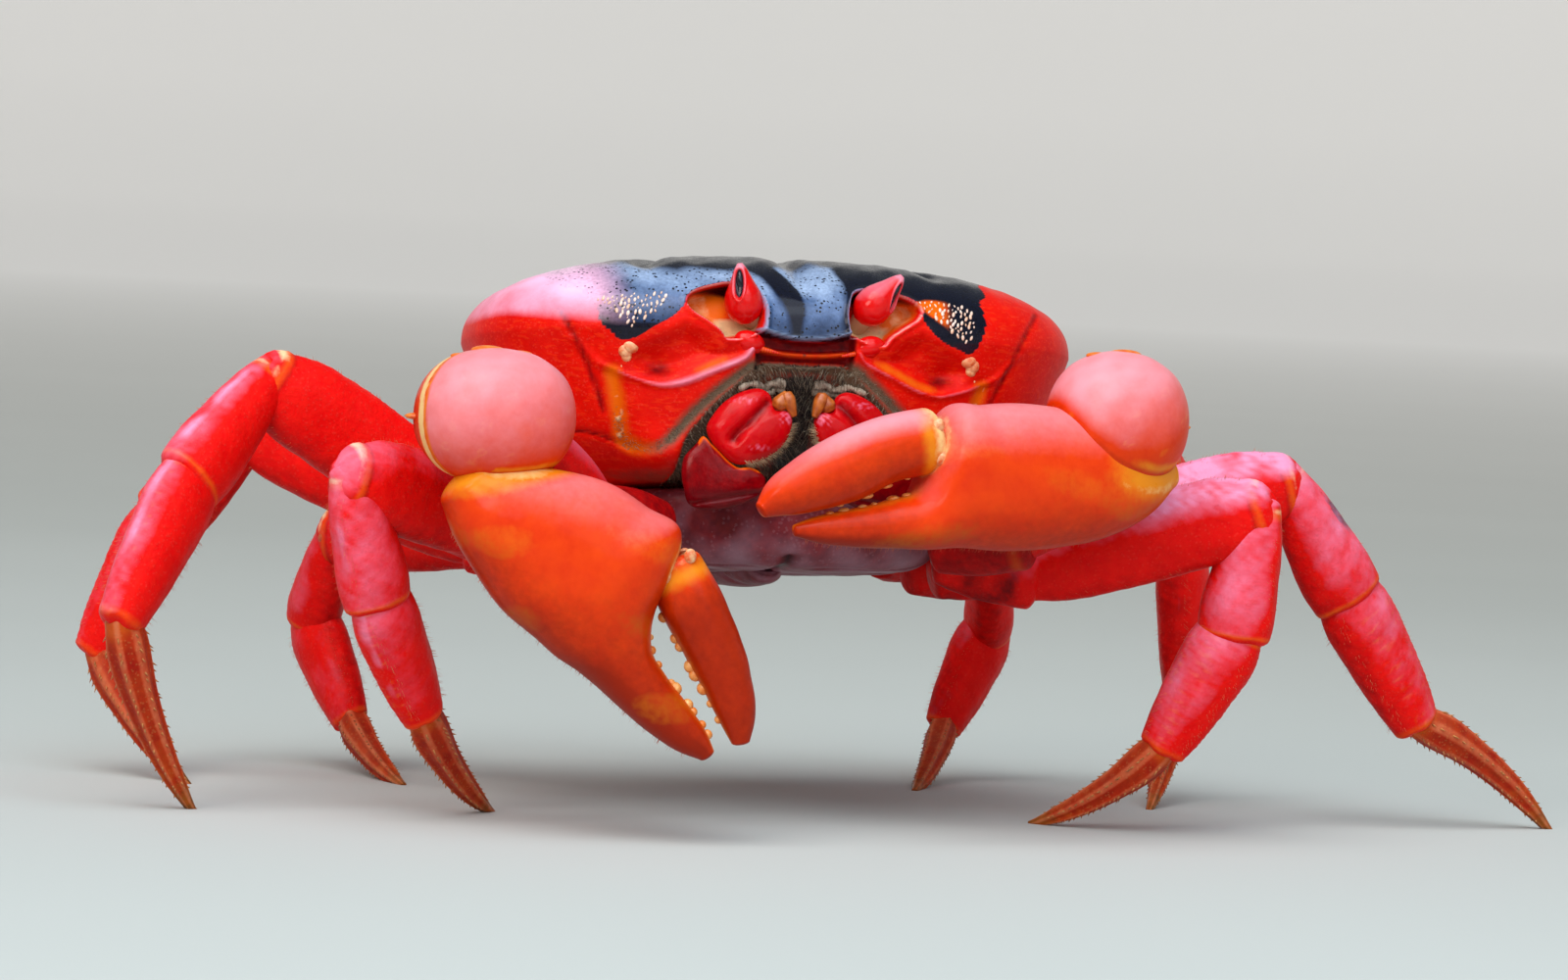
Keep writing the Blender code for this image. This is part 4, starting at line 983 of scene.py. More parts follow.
def build_pleon():
    """seven plates along one folded line; each plate is thickest in its middle and slips under the next"""
    line = np.array(PLEON_LINE, float)
    marks = np.linspace(0, len(line) - 1, PLATES + 1)
    right = np.array((1.0, 0, 0))
    for k in range(PLATES):
        t = np.linspace(marks[k], min(marks[k + 1] + 0.08, len(line) - 1), 22)
        p = ease(t, np.arange(len(line)), line)
        s = np.linspace(-1, 1, 22)
        mid = np.stack([0 * t, p[:, 0], p[:, 1]], 1)
        run = unit(np.gradient(mid, axis=0))
        out = np.stack([0 * t, -run[:, 2], run[:, 1]], 1)
        shape = np.clip(1 - np.abs(s) ** 6, 0.02, 1) ** 0.5
        half = p[:, 2] * (0.86 + 0.14 * shape)
        thick = (1.0 + 0.25 * (1 - s ** 2)) * shape
        a = around(64)
        x = half[:, None] * spow(np.cos(a), 2 / PLATE_POWER)
        h = thick[:, None] * spow(np.sin(a), 2 / PLATE_POWER)
        # the first three plates are thicker inside, where they meet the shell
        h = np.where(h < 0, h * (3.0 if k < 3 else 1.0), h)
        across = (x / half[:, None]) ** 2
        bend = (h - 0.9 * across)[..., None] * out[:, None] - (1.3 * across)[..., None] * run[:, None]
        pts = mid[:, None] + bend + x[..., None] * right
        tone = 0.35 * step(-pts[..., 2], 20, 34) * (0.6 + 0.4 * wobble(pts, 2.5, 33))
        pale = 0.3 * bump(s, 0.9, 0.12)[:, None] + tone
        skin = Skin().grid(body_to_world(pts), pale=pale, dark=0.3 * bump(x, 0, 2.5))
        make_piece(f"pleon_plate_{k + 1}", skin, UNDER)
    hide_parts("pleon")


# Walking legs
# by pair: the lengths of the five segments, the root in the body's frame, and the thickness
LEG_LENGTHS = {"2": (13, 39, 20, 22, 28), "3": (14, 46, 22, 26, 35), "4": (14, 42, 21, 25, 29),
               "5": (12, 37, 16, 19, 24)}
LEG_ROOTS = {"2": (30, -13, -32), "3": (32, -3, -33), "4": (31, 8, -32), "5": (27, 18, -29)}
LEG_SIZE = {"2": 0.95, "3": 1.0, "4": 0.95, "5": 0.88}
# by leg, in degrees: headings, forwards from straight out, and pitches, upwards from level
LEG_POSE = {
    "R2": ((26, 30, 36, 44), (3, 15, -109, -123)),
    "R3": ((6, 31, 34, 31), (6, 33, -44, -58)),
    "R4": ((-23, -24, -23, -50), (3, 24, -47, -65)),
    "R5": ((-48, -70, -60, -77), (-1, -4, -68, -124)),
    "L2": ((20, 30, 30, 45), (-12, 20, -97, -118)),
    "L3": ((3, -5, -9, -13), (9, 18, -54, -55)),
    "L4": ((-21, -50, -46, -58), (1, 27, -50, -83)),
    "L5": ((-50, -70, -20, -60), (-1, -4, -53, -117)),
}
# legs whose toe's tip points away from the body
TIP_OUT = ("L3",)
# stations of each segment: fraction of its length, half height above and below, half thickness
SEGMENTS = {
    "coxa": ((-0.1, 5, 5, 3.9), (0.35, 5.8, 5.8, 4.4), (0.8, 5.6, 5.6, 4.3), (1.06, 5.2, 5.2, 4.1)),
    "merus": ((0, 4.2, 4, 3), (0.12, 6, 5.4, 3.9), (0.4, 7.6, 6.6, 4.4), (0.72, 7.6, 7.1, 4.5),
              (0.88, 6.9, 7.1, 4.5), (0.98, 5.4, 6.2, 4.1)),
    "carpus": ((-0.06, 3.9, 3.0, 2.9), (0.16, 5.1, 4.0, 3.7), (0.52, 6.1, 5.5, 4.4), (0.88, 6.5, 6.4, 4.8),
               (1.03, 6.2, 6.2, 4.5)),
    "propodus": ((0, 5.3, 5.3, 3.8), (0.12, 6.1, 6.1, 4.3), (0.5, 5.9, 5.9, 4.2), (0.85, 4.9, 5, 3.6),
                 (1.03, 4, 4.2, 3.1)),
    "dactylus": ((0, 2.9, 2.9, 2.4), (0.12, 3.3, 3.3, 2.8), (0.4, 2.6, 2.6, 2.3), (0.7, 1.85, 1.85, 1.65),
                 (0.9, 1.15, 1.15, 1.05), (1.02, 0.7, 0.7, 0.65)),
}
# rings and columns of a segment's grid; the toe's bow, and how far the merus and the others are domed
GRIDS = {"coxa": (20, 36), "merus": (72, 60), "carpus": (60, 52), "propodus": (60, 52), "dactylus": (64, 48)}
TOE_BOW, MERUS_DOME, DOME = 0.055, 1.1, 0.45
# rows of setae: segment, angle round it, first and last fraction, how many, length, leaning to the tip
SETA_ROWS = (
    ("merus", TOP, 0.1, 0.98, 90, 0.8, 0.6), ("merus", TOP + 0.25, 0.15, 0.98, 50, 0.6, 0.6),
    ("merus", -TOP - 0.5, 0.1, 0.95, 40, 0.9, 0.5), ("merus", -TOP + 0.5, 0.1, 0.95, 40, 0.9, 0.5),
    ("carpus", TOP - 0.5, 0.1, 1.0, 40, 0.8, 0.5), ("carpus", TOP + 0.5, 0.1, 1.0, 40, 0.8, 0.5),
    ("propodus", TOP - 0.6, 0.08, 1.0, 60, 1.0, 0.4), ("propodus", TOP + 0.6, 0.08, 1.0, 60, 1.0, 0.4),
    ("propodus", -TOP - 0.6, 0.08, 1.0, 60, 1.1, 0.4), ("propodus", -TOP + 0.6, 0.08, 1.0, 60, 1.1, 0.4),
)
TOE_RIDGES, RIDGE_SPINES = 6, 19
# how strongly a painted lilac sky sheen and a painted highlight streak cover each leg, and the hidden legs
LEG_SHEEN = {"L2": 0.6, "L3": 0.62, "R2": 0.42, "R3": 0.36}
HIGHLIGHT_STREAK = {"R3": 1.0, "R2": 0.8}
HIDDEN_SHEEN, HIDDEN_HIGHLIGHT = 0.14, 0.15
# how far a segment has to face the light's way before the painted sheen starts and where it is full
SHEEN_REACH = {"merus": (0.5, 0.88), "carpus": (0.1, 0.95), "propodus": (0.1, 0.95)}
# the ways that the painted sheen and the painted highlight streak face
LEFT_WAY, LEFT_HIGHLIGHT_WAY = (-0.2, -0.5, 0.84), (-0.25, -0.6, 0.75)
RIGHT_WAY, FRONT_RIGHT_WAY, RIGHT_HIGHLIGHT_WAY = (-0.75, -0.2, 0.6), (-0.4, -0.7, 0.6), (-0.6, -0.5, 0.6)


def leg_joints(key):
    """a leg's six joints and its five segments' upper directions; the toe's pitch brings it to the floor"""
    side = 1 if key[0] == "L" else -1
    heads, pitches = LEG_POSE[key]
    lengths = LEG_LENGTHS[key[1]]
    points, ups = [body_to_world(LEG_ROOTS[key[1]] * np.array((side, 1, 1)))], []
    for i, head in enumerate((heads[0],) + heads):
        h = radians(head)
        if i < 4:
            p = radians(pitches[i])
        else:
            p = -asin(min(1, points[-1][2] / lengths[4]))
            p = p if key in TIP_OUT else -pi - p
        points.append(points[-1] + lengths[i] * np.array([side * cos(h) * cos(p), -sin(h) * cos(p), sin(p)]))
        ups.append(np.array([-side * cos(h) * sin(p), sin(h) * sin(p), cos(p)]))
    return points, ups


def leg_paint(seg, f, a, points, key):
    """masks of a leg segment: bells along it for joint rings, painted sheen and shade by the way it faces"""
    f = np.broadcast_to(f, a.shape)
    w, v = wobble(points, 3.5, 5), wobble(points, 1.1, 9)
    left, front_left = key[0] == "L", key in ("L2", "L3")
    way = LEFT_WAY if left else FRONT_RIGHT_WAY if key == "R2" else RIGHT_WAY
    low, high = SHEEN_REACH.get(seg, (0.2, 0.9))
    # painted lilac sky sheen on the side that faces the light, made patchy by wobbles
    sheen_amount = 0.78 + 0.3 * w + 0.16 * v + 0.14 * wobble(points, 0.7, 19)
    lit = sky(points, low - (0 if left else 0.15), high, way) * sheen_amount
    pale = LEG_SHEEN.get(key, HIDDEN_SHEEN) * lit
    # painted shade on the underside of each segment
    deep = 0.35 * bump(turned(a, -TOP), 0, 1.0) * (0.8 + 0.3 * v)
    dark = orange = cream = 0 * f
    # a painted highlight streak where each ring faces the light most
    facing = away(points) @ unit(LEFT_HIGHLIGHT_WAY if left else RIGHT_HIGHLIGHT_WAY)
    facing = facing / facing.max(1, keepdims=True)
    highlight_streak = bump(facing, 1.0, 0.012) * step(w, -0.6, 0.3) * HIGHLIGHT_STREAK.get(key, HIDDEN_HIGHLIGHT)
    if seg == "coxa":
        # patchy darkening of the coxa, stronger on the two front left legs, under a weak painted sky sheen
        patchy_dark = step(w, -1.2, 1.0) * (1 - step(f, 0.8, 1.0))
        pale = 0.25 * lit
        dark = (0.38 if front_left else 0.2) * patchy_dark
        deep = deep + (0.5 if front_left else 0.2) * patchy_dark
        cream = 0.5 * bump(f, 1.03, 0.04) * (0.6 + 0.4 * w)
    elif seg == "merus":
        orange = 0.6 * bump(f, 1.0, 0.016) + 0.25 * bump(f, 0.0, 0.02)
        cream = 0.9 * bump(f, 1.025, 0.022) * step(w, -1.1, -0.1) * bump(turned(a, TOP), 0.0, 1.6)
        deep = deep + 0.3 * bump(f, 0.98, 0.01)
        # stronger painted sky sheen on the middle of the left legs' merus
        pale = pale * (0.95 + 0.8 * step(f, 0.3, 0.6) * left)
    elif seg == "carpus":
        orange = 0.7 * bump(f, 0.0, 0.045) + 0.6 * bump(f, 1.03, 0.02)
        cream = 0.6 * bump(f, -0.02, 0.03) * bump(turned(a, TOP), 0, 0.8)
        # painted highlight streak along the carpus
        pale = pale + 0.55 * highlight_streak * step(f, 0.05, 0.2) * (1 - step(f, 0.85, 0.95))
        if key == "L3":
            bruise = away(points) @ unit((0.7, -0.35, 0.6)) + 0.03 * v
            dark = 0.95 * step(bruise, 0.84, 0.93) * bump(f, 0.42, 0.18)
    elif seg == "propodus":
        bars = step(np.sin(f * 80 + 1.5 * v), 0.3, 0.9) * bump(facing, 0.95, 0.05) * step(w, -0.9, 0)
        orange = 0.75 * bump(f, 0.0, 0.022) + 0.4 * bump(f, 1.03, 0.03) + 0.45 * bars * (key in LEG_SHEEN)
        # painted highlight streak on the near half of the propodus
        pale = pale + 0.45 * highlight_streak * (1 - step(f, 0.5, 0.8))
    else:
        ridge = bump(np.cos(TOE_RIDGES * a), 1, 0.7)
        orange = 0.6 * bump(f, 0.02, 0.05) + 0.4 * step(f, 0.3, 0.9) * (0.7 + 0.5 * v)
        dark = 0.8 * step(f, 0.7, 1.0) + 0.2 * step(v, 0.2, 0.8)
        deep = 0.3 * (1 - ridge)
        # a weak painted sky sheen on the toe too
        pale = 0.55 * ridge * (0.8 + 0.3 * v) + 0.2 * lit
    return {"pale": pale, "orange": orange, "deep": deep, "dark": dark, "cream": cream}


def leg_shape(seg, points, f, a):
    """fine form of a segment: sine wrinkles across, flats and ridges by cosines of the angle, and a wobble"""
    f = np.broadcast_to(f, a.shape)
    v = wobble(points, 2.2, 12)
    above = turned(a, TOP)
    if seg == "dactylus":
        lift = 0.2 * np.cos(TOE_RIDGES * a) * step(f, 0.05, 0.15) * (1 - step(f, 0.8, 1.0))
    elif seg == "propodus":
        lift = 0.05 * np.sin(f * 105 + 3.0 * v) * bump(above, 0, 0.5) + 0.2 * np.cos(4 * a) + 0.06 * v
    elif seg == "carpus":
        lift = 0.22 * np.cos(4 * a) - 0.4 * bump(above, 0.0, 0.3) * bump(f, 0.6, 0.3) + 0.06 * v
    elif seg == "merus":
        lift = 0.4 * bump(above, 0, 0.16)
        for angle in (0.75, pi - 0.75):
            lift = lift - 0.3 * bump(turned(a, angle), 0, 0.3)
        lift = lift + 0.05 * np.sin(f * 130 + 3 * a + 3 * v) * bump(above, 0, 0.5)
        lift = lift * step(f, 0.03, 0.1) + 0.07 * v
    else:
        lift = 0.08 * v
    return points + away(points) * lift[..., None]


def toe_spines(spines, p, f, out, axis, size):
    """a row of short cones on each ridge of the toe, shorter towards its tip and none under the floor"""
    for k in range(TOE_RIDGES):
        n = RIDGE_SPINES
        along = np.linspace(0.08, 0.90, n) + rng.normal(0, 0.012, n)
        r = np.interp(along, f[:, 0], np.arange(len(f))).astype(int)
        c = np.full(n, round(k / TOE_RIDGES * p.shape[1]) % p.shape[1])
        d = unit(out[r, c] + axis * 1.1 + rng.normal(0, 0.1, (n, 3)))
        long = ((1.15 - 0.6 * along) * rng.uniform(0.7, 1.1, n))[:, None] * size
        base = p[r, c] - d * 0.15
        tips = base + d * long
        keep = tips[:, 2] > 0.05
        spines.hairs(base[keep], tips[keep], 0.2 * size, sides=5, steps=2)


def leg_setae(setae, row, p, f, out, axis, size):
    """one row of setae along a segment, scattered a little about its angle"""
    angle, first, last, n, reach, lean = row
    r = np.interp(rng.uniform(first, last, n), f[:, 0], np.arange(len(f))).astype(int)
    c = ((angle + rng.normal(0, 0.10, n)) / FULL_TURN * p.shape[1]).astype(int) % p.shape[1]
    d = unit(out[r, c] + axis * lean + rng.normal(0, 0.15, (n, 3)))
    setae.hairs(p[r, c] - d * 0.1, p[r, c] + d * (rng.uniform(0.5, 1.1, (n, 1)) * reach * size), 0.035)


def build_leg(key):
    """five segments on the leg's joints, each a lofted superellipse, with setae, spines and joint knobs"""
    points, ups = leg_joints(key)
    size = LEG_SIZE[key[1]]
    setae, spines, joints = Skin(), Skin(), Skin()
    knob = np.array((1.5, 1.2, 0.9)) * size
    last_half = None
    for i, (seg, stations) in enumerate(SEGMENTS.items()):
        toe = seg == "dactylus"
        sized = np.array(stations) * (1, size, size, size)
        dome = MERUS_DOME if seg == "merus" else DOME
        p, f, a, (axis, up, side) = limb_surface(points[i], points[i + 1], ups[i], sized, *GRIDS[seg],
                                                 bow=TOE_BOW * toe, dome=dome)
        masks = leg_paint(seg, f, a, p, key)
        p = leg_shape(seg, p, f, a)
        if toe:
            p[..., 2] = np.maximum(p[..., 2], 0.0)
        name = f"leg_{key}_{seg}"
        make_piece(name + "_skin", Skin().grid(p, **masks), TOE if toe else LEG,
                   [name])
        out = away(p)
        for row in SETA_ROWS:
            if row[0] == seg:
                leg_setae(setae, row[1:], p, f, out, axis, size)
        if toe:
            toe_spines(spines, p, f, out, axis, size)
        if last_half:
            for way in (1, -1):
                centre = points[i] + side * way * last_half * size * 0.74 - up * 0.6
                joints.knobs(centre, knob, np.stack([axis, up, side])[None], 10, 14)
        last_half = stations[-1][3]
    make_piece(f"leg_{key}_setae", setae, TAN)
    make_piece(f"leg_{key}_spines", spines, SPINE)
    make_piece(f"leg_{key}_knobs", joints, JOINT)


# Claws
# by side: the arm's joints, the ball's radii, the palm's axis from wrist to tip and the side of the finger;
# stations of palm and finger: distance along the axis, lift, half height and half thickness;
# where the teeth start and end; and the strengths of the painted looks, which the two sides wear differently
# among them the painted sky sheen on ball, palm and finger, and the painted shade under the palm
CLAWS = {
    "R": {
        "root": (-25.0, -29.0, 47.5), "ischium": (-35.5, -36.0, 49.0), "merus": (-57.5, -40.0, 64.0),
        "ball": (-56.2, -49.0, 65.5), "radii": (12.6, 10.6, 10.6),
        "wrist": (-52.2, -51.0, 55.8), "tip": (-19.8, -58.0, 14.8), "finger_side": (0.8, -0.1, 0.5),
        "palm": ((-4.0, -6.4, 5.6, 6.2), (1.0, -4.3, 9.0, 8.0), (8.0, -1.8, 12.4, 9.2),
                 (15.0, -0.2, 13.8, 9.6), (21.5, 1.5, 14.0, 9.2), (25.5, -0.2, 11.4, 8.0),
                 (29.0, -2.7, 7.6, 6.6), (33.0, -4.0, 5.3, 5.4), (38.0, -3.9, 4.4, 4.6),
                 (44.0, -3.2, 3.7, 3.7), (49.0, -2.3, 2.6, 2.6), (51.8, -1.7, 1.3, 1.3)),
        "finger": ((25.2, 11.6, 4.4, 4.4), (31.0, 10.4, 4.9, 4.8), (38.0, 9.2, 4.6, 4.3),
                   (44.5, 7.6, 3.9, 3.5), (50.0, 5.6, 2.9, 2.6), (53.4, 3.8, 1.5, 1.3)),
        "teeth": (32.0, 50.0), "palm_teeth": 9, "finger_teeth": 8, "tooth_height": 1.0,
        "ball_sheen": 0.8, "ball_sheen_from": -0.9, "ring_lean": 0.6, "ring_shift": 0.12, "ring_end": 0.56,
        "palm_sheen": 0.42, "palm_deep": 0.75, "palm_shade_below": 0.85, "finger_sheen": 0.3, "hinge_cream": 0.4,
    },
    "L": {
        "root": (25.0, -29.0, 47.5), "ischium": (35.0, -35.5, 49.5), "merus": (55.0, -38.0, 67.5),
        "ball": (46.8, -47.0, 68.8), "radii": (11.4, 10.4, 11.2),
        "wrist": (51.1, -46.0, 59.1), "tip": (-9.9, -54.0, 49.9), "finger_side": (0.0, 0.0, 1.0),
        "palm": ((-5.0, 0.8, 2.6, 4.6), (-1.0, 0.7, 5.6, 7.0), (3.0, 1.1, 8.0, 8.4), (8.0, 1.7, 10.0, 9.2),
                 (16.0, 2.8, 11.4, 9.5), (26.0, 3.8, 11.7, 9.2), (33.0, 4.2, 10.8, 8.4),
                 (38.5, -1.0, 5.2, 6.6), (44.0, -1.4, 3.9, 4.8), (51.0, -1.2, 3.0, 3.4),
                 (57.0, -0.8, 2.0, 2.2), (60.3, -0.5, 1.0, 1.0)),
        "finger": ((36.2, 10.9, 5.2, 4.8), (44.0, 10.3, 5.3, 5.0), (51.0, 8.3, 5.4, 4.8),
                   (58.0, 6.4, 4.4, 4.0), (63.0, 4.8, 2.9, 2.8), (65.6, 3.5, 1.4, 1.4)),
        "teeth": (41.0, 54.0), "palm_teeth": 6, "finger_teeth": 4, "tooth_height": 0.5,
        "ball_sheen": 0.95, "ball_sheen_from": -0.4, "ring_lean": 0.0, "ring_shift": 0.0, "ring_end": 0.47,
        "palm_sheen": 0.6, "palm_deep": 0.5, "palm_shade_below": 0.55, "finger_sheen": 0.9, "hinge_cream": 0.9,
    },
}
# stations of the arm's two segments, as for a leg's
CLAW_COXA = ((-0.1, 5.2, 5.2, 4.2), (0.4, 6.2, 6.2, 5.2), (1.05, 6.0, 6.0, 5.0))
CLAW_MERUS = ((0, 4.8, 4.8, 3.9), (0.25, 7, 6.6, 5.4), (0.65, 8, 7.6, 6.2), (0.98, 8.2, 7.8, 6.4))
CLAW_POWER, BALL_POWER, DOME_RINGS, LOW_SETAE = 2.3, 2.2, 8, 150
# the condyles of the finger: lift, distance to the outer side, size; and the wrist's knobs: direction, size
CONDYLES = ((2.6, 4.0, 1.0), (-2.4, 4.1, 1.15), (-2.4, -4.0, 1.1), (2.6, -3.9, 1.0))
WRIST_KNOBS = (((-0.3, 0.1, 0.95), 1.5), ((0.1, 0.12, 0.99), 1.9), ((0.45, 0.1, 0.88), 1.2),
               ((1.0, 0.1, -0.05), 1.3))


def claw_frame(claw):
    """the palm's start and its three directions: along it, to the finger's side, and across"""
    a, b = np.array(claw["wrist"]), np.array(claw["tip"])
    axis = unit(b - a)
    up = np.array(claw["finger_side"])
    up = unit(up - np.dot(up, axis) * axis)
    return a, axis, up, np.cross(axis, up)


def claw_surface(claw, stations, rings, cols, follow=False):
    """superellipse rings along the palm's axis, or along the stations' own line if follow, with domed ends"""
    origin, axis, up, side = claw_frame(claw)
    st = np.array(stations, float)
    n = DOME_RINGS
    t = np.linspace(0.1, pi / 2, n + 1)[:-1]
    body = np.linspace(st[0, 0], st[-1, 0], rings)
    reach = [DOME * min(q[2], q[3]) for q in (st[0], st[-1])]
    s = np.concatenate([np.full(n, st[0, 0]), body, np.full(n, st[-1, 0])])
    end = np.concatenate([-reach[0] * np.cos(t), np.zeros(rings), reach[1] * np.cos(t[::-1])])
    scale = np.concatenate([np.sin(t), np.ones(rings), np.sin(t[::-1])])
    val = ease(s, st[:, 0], st[:, 1:])
    slope = np.gradient(ease(body, st[:, 0], st[:, 1]), body) if follow else np.zeros(rings)
    slope = np.concatenate([np.full(n, slope[0]), slope, np.full(n, slope[-1])])
    run = unit(axis + up * slope[:, None])
    lift = np.cross(side, run)
    ang = around(cols)
    x = (val[:, 2] * scale)[:, None] * spow(np.cos(ang), 2 / CLAW_POWER)
    y = (val[:, 1] * scale)[:, None] * spow(np.sin(ang), 2 / CLAW_POWER)
    mid = origin + axis * s[:, None] + up * val[:, 0:1] + run * end[:, None]
    points = mid[:, None] + x[..., None] * side + y[..., None] * lift[:, None]
    return points, np.broadcast_to((s + end)[:, None], x.shape), np.broadcast_to(ang, x.shape)


def claw_seam(points, claw, stations):
    """about how many millimetres a place is off the palm's surface; 9 for all places behind its start"""
    origin, axis, up, side = claw_frame(claw)
    st = np.array(stations, float)
    d = points - origin
    s = d @ axis
    lift, half, thick = (np.interp(s, st[:, 0], st[:, k]) for k in (1, 2, 3))
    rho = np.hypot((d @ up - lift) / half, (d @ side) / thick)
    return np.where(s < st[0, 0], 9.0, (rho - 1) * np.minimum(half, thick))


def claw_ball(c):
    """a superellipsoid a little squarer than round, with a slight wobble, which is returned too"""
    lat = np.linspace(-pi / 2, pi / 2, 92)[1:-1]
    lon = around(120)
    r, e = c["radii"], 2 / BALL_POWER
    x = r[0] * spow(np.cos(lat), e)[:, None] * spow(np.cos(lon), e)
    y = r[1] * spow(np.cos(lat), e)[:, None] * spow(np.sin(lon), e)
    z = np.broadcast_to((r[2] * spow(np.sin(lat), e))[:, None], x.shape)
    p = np.array(c["ball"]) + np.stack([x, y, z], -1)
    w = wobble(p, 6.0, 2)
    return p + away(p) * (0.12 * w)[..., None], w


def build_arm(name, c):
    """the two lofted segments between the body and the ball"""
    vert = np.array((0, 0, 1.0))
    p, f, _, _ = limb_surface(c["root"], c["ischium"], vert, CLAW_COXA, 24, 44)
    skin = Skin().grid(p, orange=0.3 * bump(f, 1.0, 0.1), deep=0.6)
    make_piece(name + "_coxa_skin", skin, LEG, [name + "_coxa"])
    p, f, _, _ = limb_surface(c["ischium"], c["merus"], vert, CLAW_MERUS, 50, 60)
    # painted sky sheen on the merus' upper side
    skin = Skin().grid(p, pale=0.3 * sky(p), deep=0.5 * bump(f, 0.9, 0.04) + 0.3)
    make_piece(name + "_merus_skin", skin, LEG, [name + "_merus"])


def build_ball(name, c, sign):
    """the claw's ball, with the soft joint towards the arm painted as a cream ring with an orange edge"""
    p, w = claw_ball(c)
    rim = claw_seam(p, c, c["palm"])
    behind = unit(unit(np.subtract(c["merus"], c["ball"])) + c["ring_lean"] * np.array((sign, 0, 0.15)))
    soft = unit((p - c["ball"]) / c["radii"]) @ behind + 0.02 * w + c["ring_shift"]
    spot = wobble(p, 2.0, 41)
    # painted sky sheen on the side that faces up and left, not on the joint's side
    lit = sky(p, c["ball_sheen_from"], 1.0, (-0.4, -0.25, 0.88)) * (0.92 + 0.08 * spot)
    lit = lit * (1 - step(soft, 0.34, 0.40))
    seam = bump(rim, 1.2, 0.6) * (step(p[..., 0], 45.0, 50.0) if sign > 0 else 1.0)
    ring = step(soft, 0.42, 0.46) * (1 - step(soft, c["ring_end"], c["ring_end"] + 0.09))
    # darker next to the palm as painted shade, and darker inside the ring
    skin = Skin().grid(p, pale=np.clip(c["ball_sheen"] * lit + 0.08 * w, 0, 1) * step(rim, 0.3, 3.5),
                       orange=0.75 * seam + 0.8 * bump(soft, 0.40, 0.03) + 0.25 * bump(spot, 0.9, 0.2),
                       cream=0.75 * ring, deep=0.35 * bump(rim, 0.4, 0.5) + 0.5 * step(soft, 0.6, 0.8))
    make_piece(name + "_carpus_skin", skin, CLAW, [name + "_carpus"])


def build_palm(name, c, sign):
    """the palm with the fixed finger, painted at the wrist, the biting edge and the finger's socket"""
    origin, axis, up, _ = claw_frame(c)
    first, hinge_up = c["finger"][0][:2]
    p, s, a = claw_surface(c, c["palm"], 160, 90)
    w, v = wobble(p, 7.0, 4), wobble(p, 1.6, 14)
    p = p + away(p) * (0.10 * w)[..., None]
    near = np.linalg.norm(p - (origin + axis * first + up * hinge_up * 0.95), axis=-1)
    ball = np.linalg.norm((p - c["ball"]) / c["radii"], axis=-1)
    wrist, folds = 1 - step(ball + 0.06 * w, 1.12, 1.45), 0
    if sign > 0:
        wrist = wrist * step(p[..., 0] + 1.5 * w, 40.0, 49.0)
        # dark stripes of painted shade for folds in the left wrist's skin
        folds = 0.5 * wrist * bump(np.sin(ball * 40 + w), 0.9, 0.25)
    above = turned(a, TOP)
    bite = bump(above, 0, 0.45) * step(s, c["teeth"][0] - 4, c["teeth"][0])
    # dark lines of painted shade for cracks in the wrist's skin
    crack = bump(v, 0.15, 0.10)
    socket = bump(near, 4.6, 0.9)
    # painted shade on the down-facing side
    underside_shade = 1 - sky(p, -0.9, 0.1)
    # painted sky sheen where the palm faces up, away from the finger's base and the wrist
    lit = sky(p, 0.05, 1.0, (-0.25, -0.1, 0.96)) * (1 - step(s, first - 6, first + 8)) * (1 - wrist)
    skin = Skin().grid(
        p, pale=c["palm_sheen"] * lit,
        orange=0.95 * wrist + 0.6 * bite + 0.2 * step(w, 0.1, 0.9) + 0.4 * socket,
        deep=c["palm_deep"] * step(s, first, first + 12) * (1 - bite) + c["palm_shade_below"] * underside_shade,
        cream=0.25 * bump(above, 0, 0.16) * bite + 0.5 * socket + 0.55 * wrist * step(w, -0.4, 0.4),
        dark=0.5 * crack * wrist * (ball < 1.16) + folds)
    make_piece(name + "_palm_skin", skin, CLAW, [name + "_palm"])
    return p, s


def build_finger(name, c, sign):
    """the moving finger, cream and orange where it is hinged"""
    first = c["finger"][0][0]
    p, s, a = claw_surface(c, c["finger"], 110, 70, follow=True)
    p = p + away(p) * (0.08 * wobble(p, 5.0, 6))[..., None]
    base = bump(s, first - 1.2, 2.4)
    bite = bump(turned(a, -TOP), 0, 0.4) * step(s, c["teeth"][0] - 2, c["teeth"][0] + 2)
    tip = step(s, first + 12, first + 26)
    # on the left, painted shade where it faces down; on the right, a darker finger past its base
    shade_and_tone = (1 - sky(p, -0.6, 0.6)) * 0.6 if sign > 0 else 0.8 * step(s, first, first + 8)
    # painted sky sheen on the upper side; a dark line of painted shade in the gap at its base
    skin = Skin().grid(p, pale=sky(p, 0.1, 1.0) * c["finger_sheen"] * (1 - 0.6 * tip) * (1 - base),
                       cream=base * (0.85 + 0.15 * wobble(p, 1.5, 15)) * c["hinge_cream"],
                       orange=0.8 * bump(s, first + 1.6, 1.4) + 0.5 * bite,
                       dark=0.7 * bump(s, first - 1.6, 0.35), deep=shade_and_tone * (1 - base))
    make_piece(name + "_finger_skin", skin, CLAW, [name + "_finger"])
    return p, s


